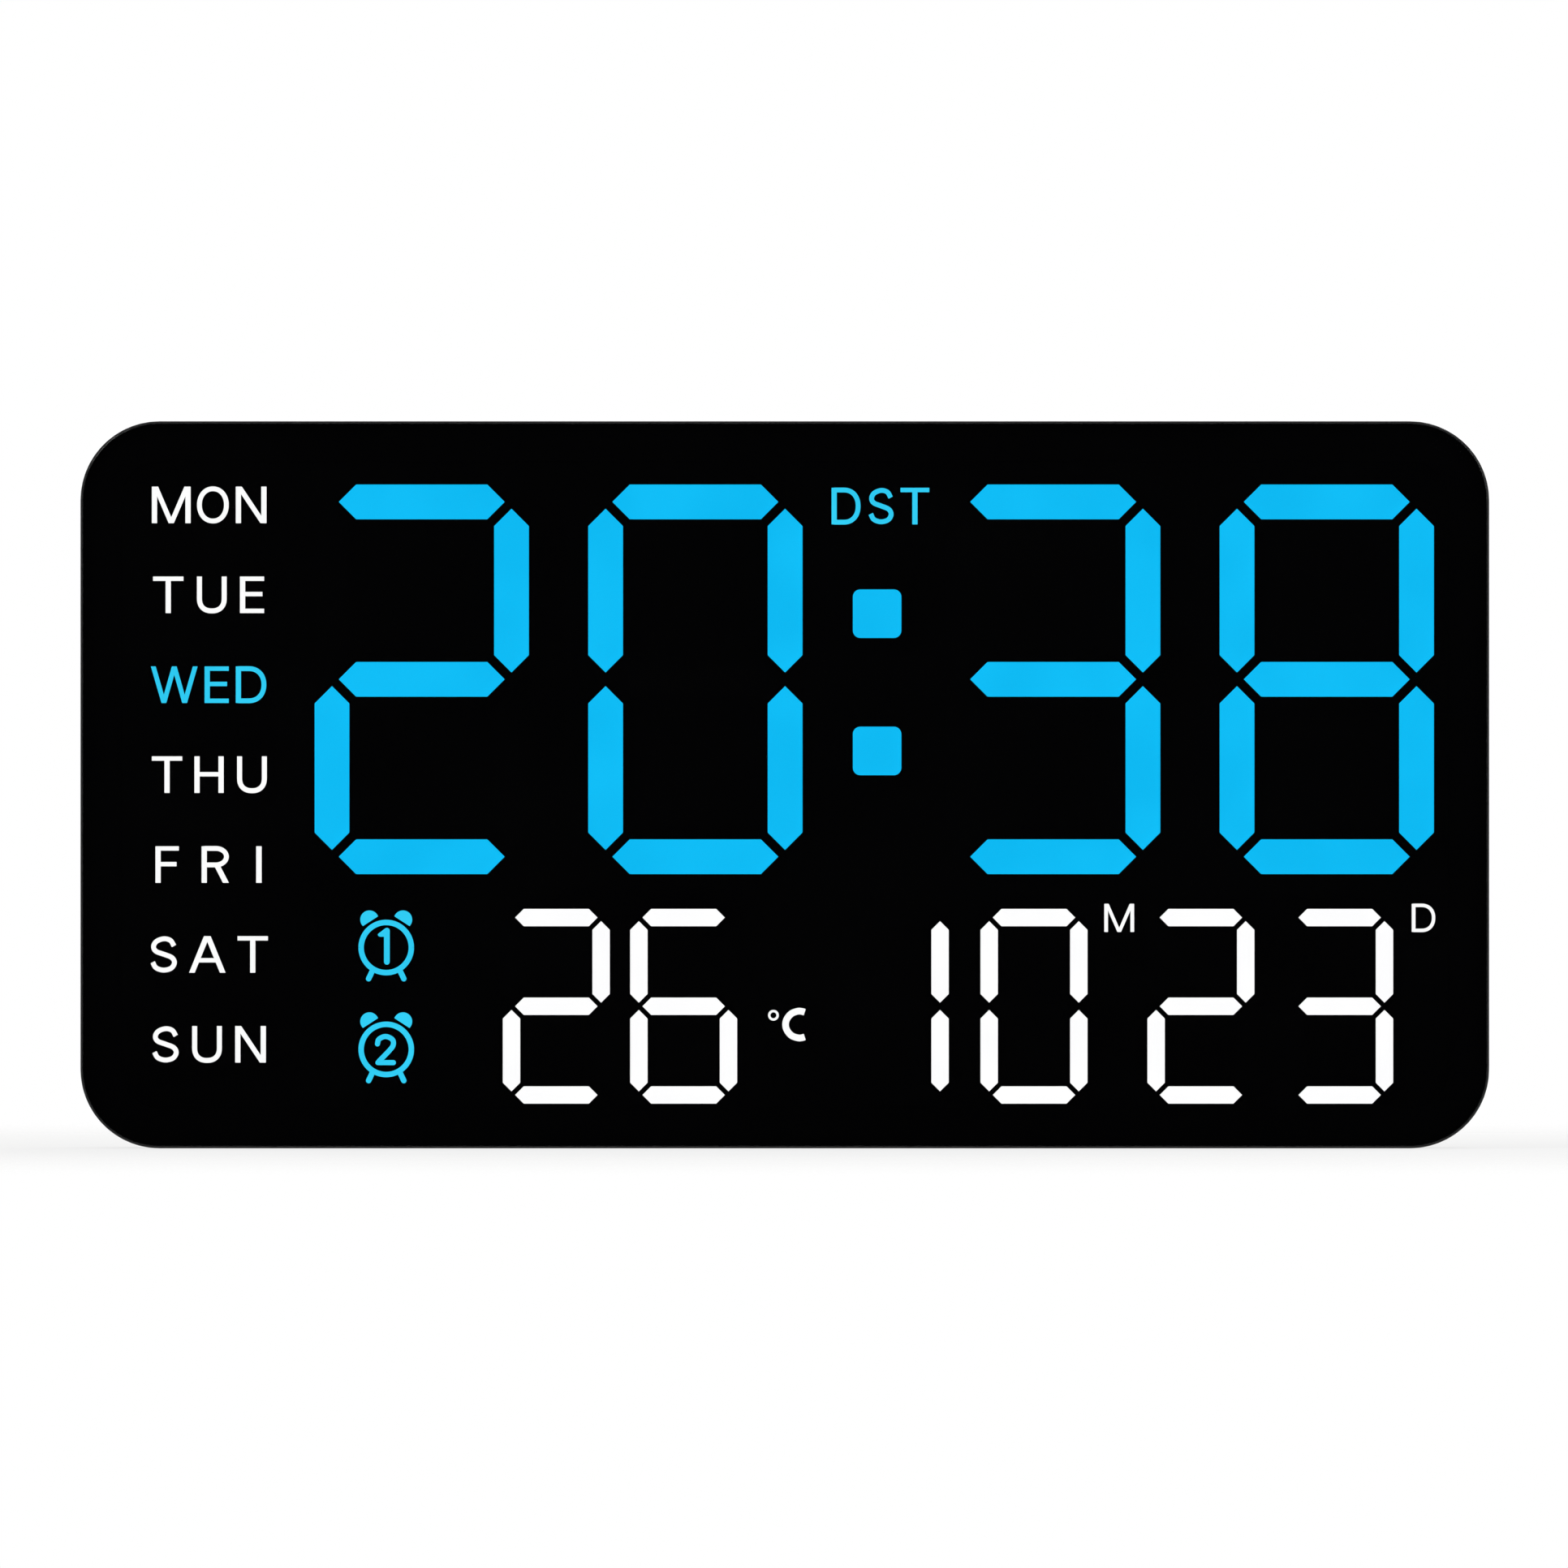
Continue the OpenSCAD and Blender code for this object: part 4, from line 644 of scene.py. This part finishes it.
# Black screen ink on the back of the sheet hides the tape and the frame's lip, and a coat of it blacks out
# the sheet's edge. Both are fused to the sheet, so they lie just inside its faces: an even black, and glossy.
FACE_CORNER, EDGE_FROM, PRINT_FROM, PRINT_TO = 13.2, 0.02, 0.4, 6.7
PRINT_T, EDGE_T = 0.03, 1.35
screen_ink = moulded("black_screen_ink", "#050506", "#080809", grain_mm=0.4, depth_mm=0.002, rough=0.12,
                     shine=0.13)
low, high = (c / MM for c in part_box("front_lens"))
for name, outer, inner, thick in (
    ("lens_border_print", PRINT_FROM, PRINT_TO, PRINT_T), ("lens_edge_coat", EDGE_FROM, PRINT_FROM, EDGE_T),
):
    inset, turn = (outer + inner) / 2, FACE_CORNER - (outer + inner) / 2
    right, roof_z, sill_z = high.x - inset, high.z - inset, low.z + inset
    half_way = (corners((0, roof_z)) + arc(right - turn, roof_z - turn, turn, turn, 90, 0)
                + arc(right - turn, sill_z + turn, turn, turn, 0, -90) + corners((0, sill_z)))
    half_ring = stroke(half_way, inner - outer)
    coat = flat_piece(name, screen_ink, [half_ring, mirrored(half_ring)], high.y, high.y - thick)
    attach(coat, "case")

# Smoked acrylic is dark and clear at once. Wiping leaves wide, low smears that show only in its shine.
SMEAR_MM, SMEAR_LOW = 30, 2.5  # how wide a smear is, and how many times wider than high
smoked, tree, place = begin("smoked_acrylic_sheet")
wipe = add(tree, "ShaderNodeMapping", {"Vector": place, "Scale": (1, 1, SMEAR_LOW)}).outputs[0]
smear = add(tree, "ShaderNodeTexNoise", {"Vector": wipe, "Scale": 1 / SMEAR_MM, "Detail": 4})
shine = add(tree, "ShaderNodeMapRange", {
    "Value": smear.outputs["Fac"], "From Min": 0.35, "From Max": 0.7, "To Min": 0.015, "To Max": 0.05,
})
tint = add(tree, "ShaderNodeMix", {
    0: smear.outputs["Fac"], 6: linear("#020203"), 7: linear("#050506"),
}, data_type="RGBA")
surface = add(tree, "ShaderNodeBsdfPrincipled", {
    "Base Color": tint.outputs[2], "Roughness": shine.outputs[0], "IOR": 1.49, "Specular IOR Level": 0.7,
    "Alpha": LENS_TINT,
})
add(tree, "ShaderNodeOutputMaterial", {"Surface": surface.outputs[0]})
dress(smoked, "front_lens")


# Buttons and their signs
# Four dark grey ABS caps in a recess of the back, each on its switch's plunger.
# A sign in white ABS is moulded into the top of each cap and stands a little proud of it.

# The same grain as on the case, over a paler and a little shinier grey.
grey_abs = moulded("dark_grey_abs_spark_grain", "#202021", "#48484B", grain_mm=SPARK_GRAIN_MM, depth_mm=0.08,
                   rough=0.48, shine=0.35)
dress(grey_abs, "set_button", "up_button", "down_button", "alarm_button")

# Moulded in as a second shot: a smooth, warm white with a low shine.
white_abs = moulded("white_abs_second_shot", "#D6D6D2", "#E8E8E4", grain_mm=0.5, depth_mm=0.008, rough=0.5)
CAP_SIGN_RISE = 0.15
SET_LEFTS, SET_H, SET_STROKE = (-3.1, -0.85, 1.1), 2.4, 0.42
CAP_ALARM_SCALE = 0.36
ARROW_ROUND = 0.2
tips = corners((-1.3, -0.8), (1.3, -0.8), (0, 1.1))
arrow = [tips] + [bar(*a, *b, 2 * ARROW_ROUND) for a, b in zip(tips, tips[1:] + tips[:1])]
arrow += [dot(*tip, ARROW_ROUND) for tip in tips]
CAP_SIGNS = {
    "set": word("SET", SET_LEFTS, -SET_H / 2, SET_H, SET_STROKE),
    "up": arrow,
    "down": [[-p for p in outline] for outline in arrow],
    "alarm": [[p * CAP_ALARM_SCALE for p in outline] for outline in alarm_body],
}
for key, outlines in CAP_SIGNS.items():
    low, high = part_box(f"{key}_button")
    middle = Vector(((low.x + high.x) / 2 / MM, (low.z + high.z) / 2 / MM))
    top = high.y / MM
    turned = [[p + middle for p in mirrored(outline)] for outline in outlines]
    sign = flat_piece(f"{key}_button_sign", white_abs, turned, top + CAP_SIGN_RISE, top)
    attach(sign, f"{key}_key")


# Leg and battery hatch
# The fold-out leg swings on two moulded pins, and the hatch closes the coin cell's shaft under one screw.
# Both are the same dark grey ABS as the buttons, a shade lighter than the case.

dress(grey_abs, "stand_leg", "battery_hatch")


# Floor
# White card under the clock, which shows the camera plain white and keeps the clock's soft shadow.
# It fades out well before its edge, so no horizon shows, and the polished lens mirrors none of it.

FLOOR_R, FADE_FROM, FADE_TO = 0.6, 0.15, 0.57
WHITE_SHARE = 0.75  # of what the camera sees, and the rest is the lit paper with its shadow
FIBRE_MM = 3


def in_view(tree):
    """The kinds of ray, and a 1 for those that show a thing: straight, mirrored or through glass."""
    ray = add(tree, "ShaderNodeLightPath").outputs
    seen = add(tree, "ShaderNodeMath", {0: ray["Is Camera Ray"], 1: ray["Is Glossy Ray"]}, operation="ADD")
    shown = add(tree, "ShaderNodeMath", {
        0: seen.outputs[0], 1: ray["Is Transmission Ray"],
    }, operation="ADD", use_clamp=True)
    return ray, shown.outputs[0]


# Paper card: a dead matt, slightly warm white with soft fibre clouds.
card, tree, place = begin("white_card")
fibre = add(tree, "ShaderNodeTexNoise", {"Vector": place, "Scale": 1 / FIBRE_MM, "Detail": 3})
tone = add(tree, "ShaderNodeMix", {
    0: fibre.outputs["Fac"], 6: linear("#EEEEEC"), 7: linear("#F6F6F4"),
}, data_type="RGBA")
paper = add(tree, "ShaderNodeBsdfPrincipled", {"Base Color": tone.outputs[2], "Roughness": 0.9})
ray, shown = in_view(tree)
share = add(tree, "ShaderNodeMath", {0: shown, 1: WHITE_SHARE}, operation="MULTIPLY")
white = add(tree, "ShaderNodeEmission", {"Color": (1, 1, 1, 1), "Strength": 1})
shaded = add(tree, "ShaderNodeMixShader", {0: share.outputs[0], 1: paper.outputs[0], 2: white.outputs[0]})
away = add(tree, "ShaderNodeVectorMath", {0: place}, operation="LENGTH")
fade = add(tree, "ShaderNodeMapRange", {
    "Value": away.outputs["Value"], "From Min": FADE_FROM / MM, "From Max": FADE_TO / MM,
}, interpolation_type="SMOOTHSTEP")
along = add(tree, "ShaderNodeSeparateXYZ", {0: place}).outputs
in_front = add(tree, "ShaderNodeMath", {0: along["Y"], 1: cad_box[0].y / MM}, operation="LESS_THAN")
mirrored_card = add(tree, "ShaderNodeMath", {
    0: in_front.outputs[0], 1: ray["Is Glossy Ray"],
}, operation="MULTIPLY")
gone = add(tree, "ShaderNodeMath", {0: fade.outputs[0], 1: mirrored_card.outputs[0]}, operation="MAXIMUM")
clear = add(tree, "ShaderNodeBsdfTransparent")
ground = add(tree, "ShaderNodeMixShader", {0: gone.outputs[0], 1: shaded.outputs[0], 2: clear.outputs[0]})
add(tree, "ShaderNodeOutputMaterial", {"Surface": ground.outputs[0]})

mesh = bmesh.new()
bmesh.ops.create_circle(mesh, cap_ends=True, radius=FLOOR_R, segments=96)
for vertex in mesh.verts:
    vertex.co.z = cad_box[0].z
data = bpy.data.meshes.new("floor")
mesh.to_mesh(data)
mesh.free()
data.materials.append(card)
floor = bpy.data.objects.new("floor", data)
bpy.context.scene.collection.objects.link(floor)


# Light
# A white room for the camera and for everything that shines, with a dark card round the camera that keeps
# the polished lens black from the front, and three large soft lamps.

CARD_FULL, CARD_GONE = math.radians(15), math.radians(55)  # from straight in front
ROOM_LIGHT = 0.5  # what the room gives to dull surfaces
world = bpy.data.worlds.new("white_room")
bpy.context.scene.world = world
world.use_nodes = True
tree = world.node_tree
tree.nodes.clear()
ray, shown = in_view(tree)
heading = add(tree, "ShaderNodeTexCoord").outputs["Generated"]
forward = add(tree, "ShaderNodeVectorMath", {0: heading, 1: (0, -1, 0)}, operation="DOT_PRODUCT")
card_dark = add(tree, "ShaderNodeMapRange", {
    "Value": forward.outputs["Value"], "From Min": math.cos(CARD_GONE), "From Max": math.cos(CARD_FULL),
    "To Min": 1, "To Max": 0,
}, interpolation_type="SMOOTHSTEP")
open_room = add(tree, "ShaderNodeMath", {
    0: card_dark.outputs[0], 1: ray["Is Camera Ray"],
}, operation="MAXIMUM")
room = add(tree, "ShaderNodeBackground", {"Color": (1, 1, 1, 1), "Strength": open_room.outputs[0]})
soft = add(tree, "ShaderNodeBackground", {"Color": (1, 1, 1, 1), "Strength": ROOM_LIGHT})
mixed = add(tree, "ShaderNodeMixShader", {0: shown, 1: soft.outputs[0], 2: room.outputs[0]})
add(tree, "ShaderNodeOutputWorld", {"Surface": mixed.outputs[0]})

# Each lamp's name, place in metres, power in watts and size in metres.
for name, spot, watts, size in (
    ("key_lamp", (-0.95, -0.95, 0.9), 5.0, 0.8),
    ("fill_lamp", (1.2, -0.7, 0.5), 2.5, 0.9),
    ("back_lamp", (0.6, 1.2, 0.9), 5.0, 0.9),
):
    lamp = bpy.data.lights.new(name, "AREA")
    lamp.energy, lamp.size = watts, size
    stand = bpy.data.objects.new(name, lamp)
    stand.location = spot
    stand.rotation_euler = (-Vector(spot)).to_track_quat("-Z", "Y").to_euler()
    bpy.context.scene.collection.objects.link(stand)


# Camera
# Straight in front, level with the middle of the face, on a long lens as product pictures are taken.
# The face stands a hair right of and below the picture's middle.

FRAME_W, FOCAL, SENSOR = 261.53, 1000, 36
OFF_CENTRE = 0.135
lens = bpy.data.cameras.new("camera")
lens.lens, lens.sensor_width = FOCAL, SENSOR
camera = bpy.data.objects.new("camera", lens)
face_z = (cad_box[0].z + cad_box[1].z) / 2
camera.location = (-OFF_CENTRE * MM, cad_box[0].y - FRAME_W * FOCAL / SENSOR * MM, face_z + OFF_CENTRE * MM)
camera.rotation_euler = (math.pi / 2, 0, 0)
bpy.context.scene.collection.objects.link(camera)
bpy.context.scene.camera = camera
bpy.context.scene.view_settings.view_transform = "Standard"
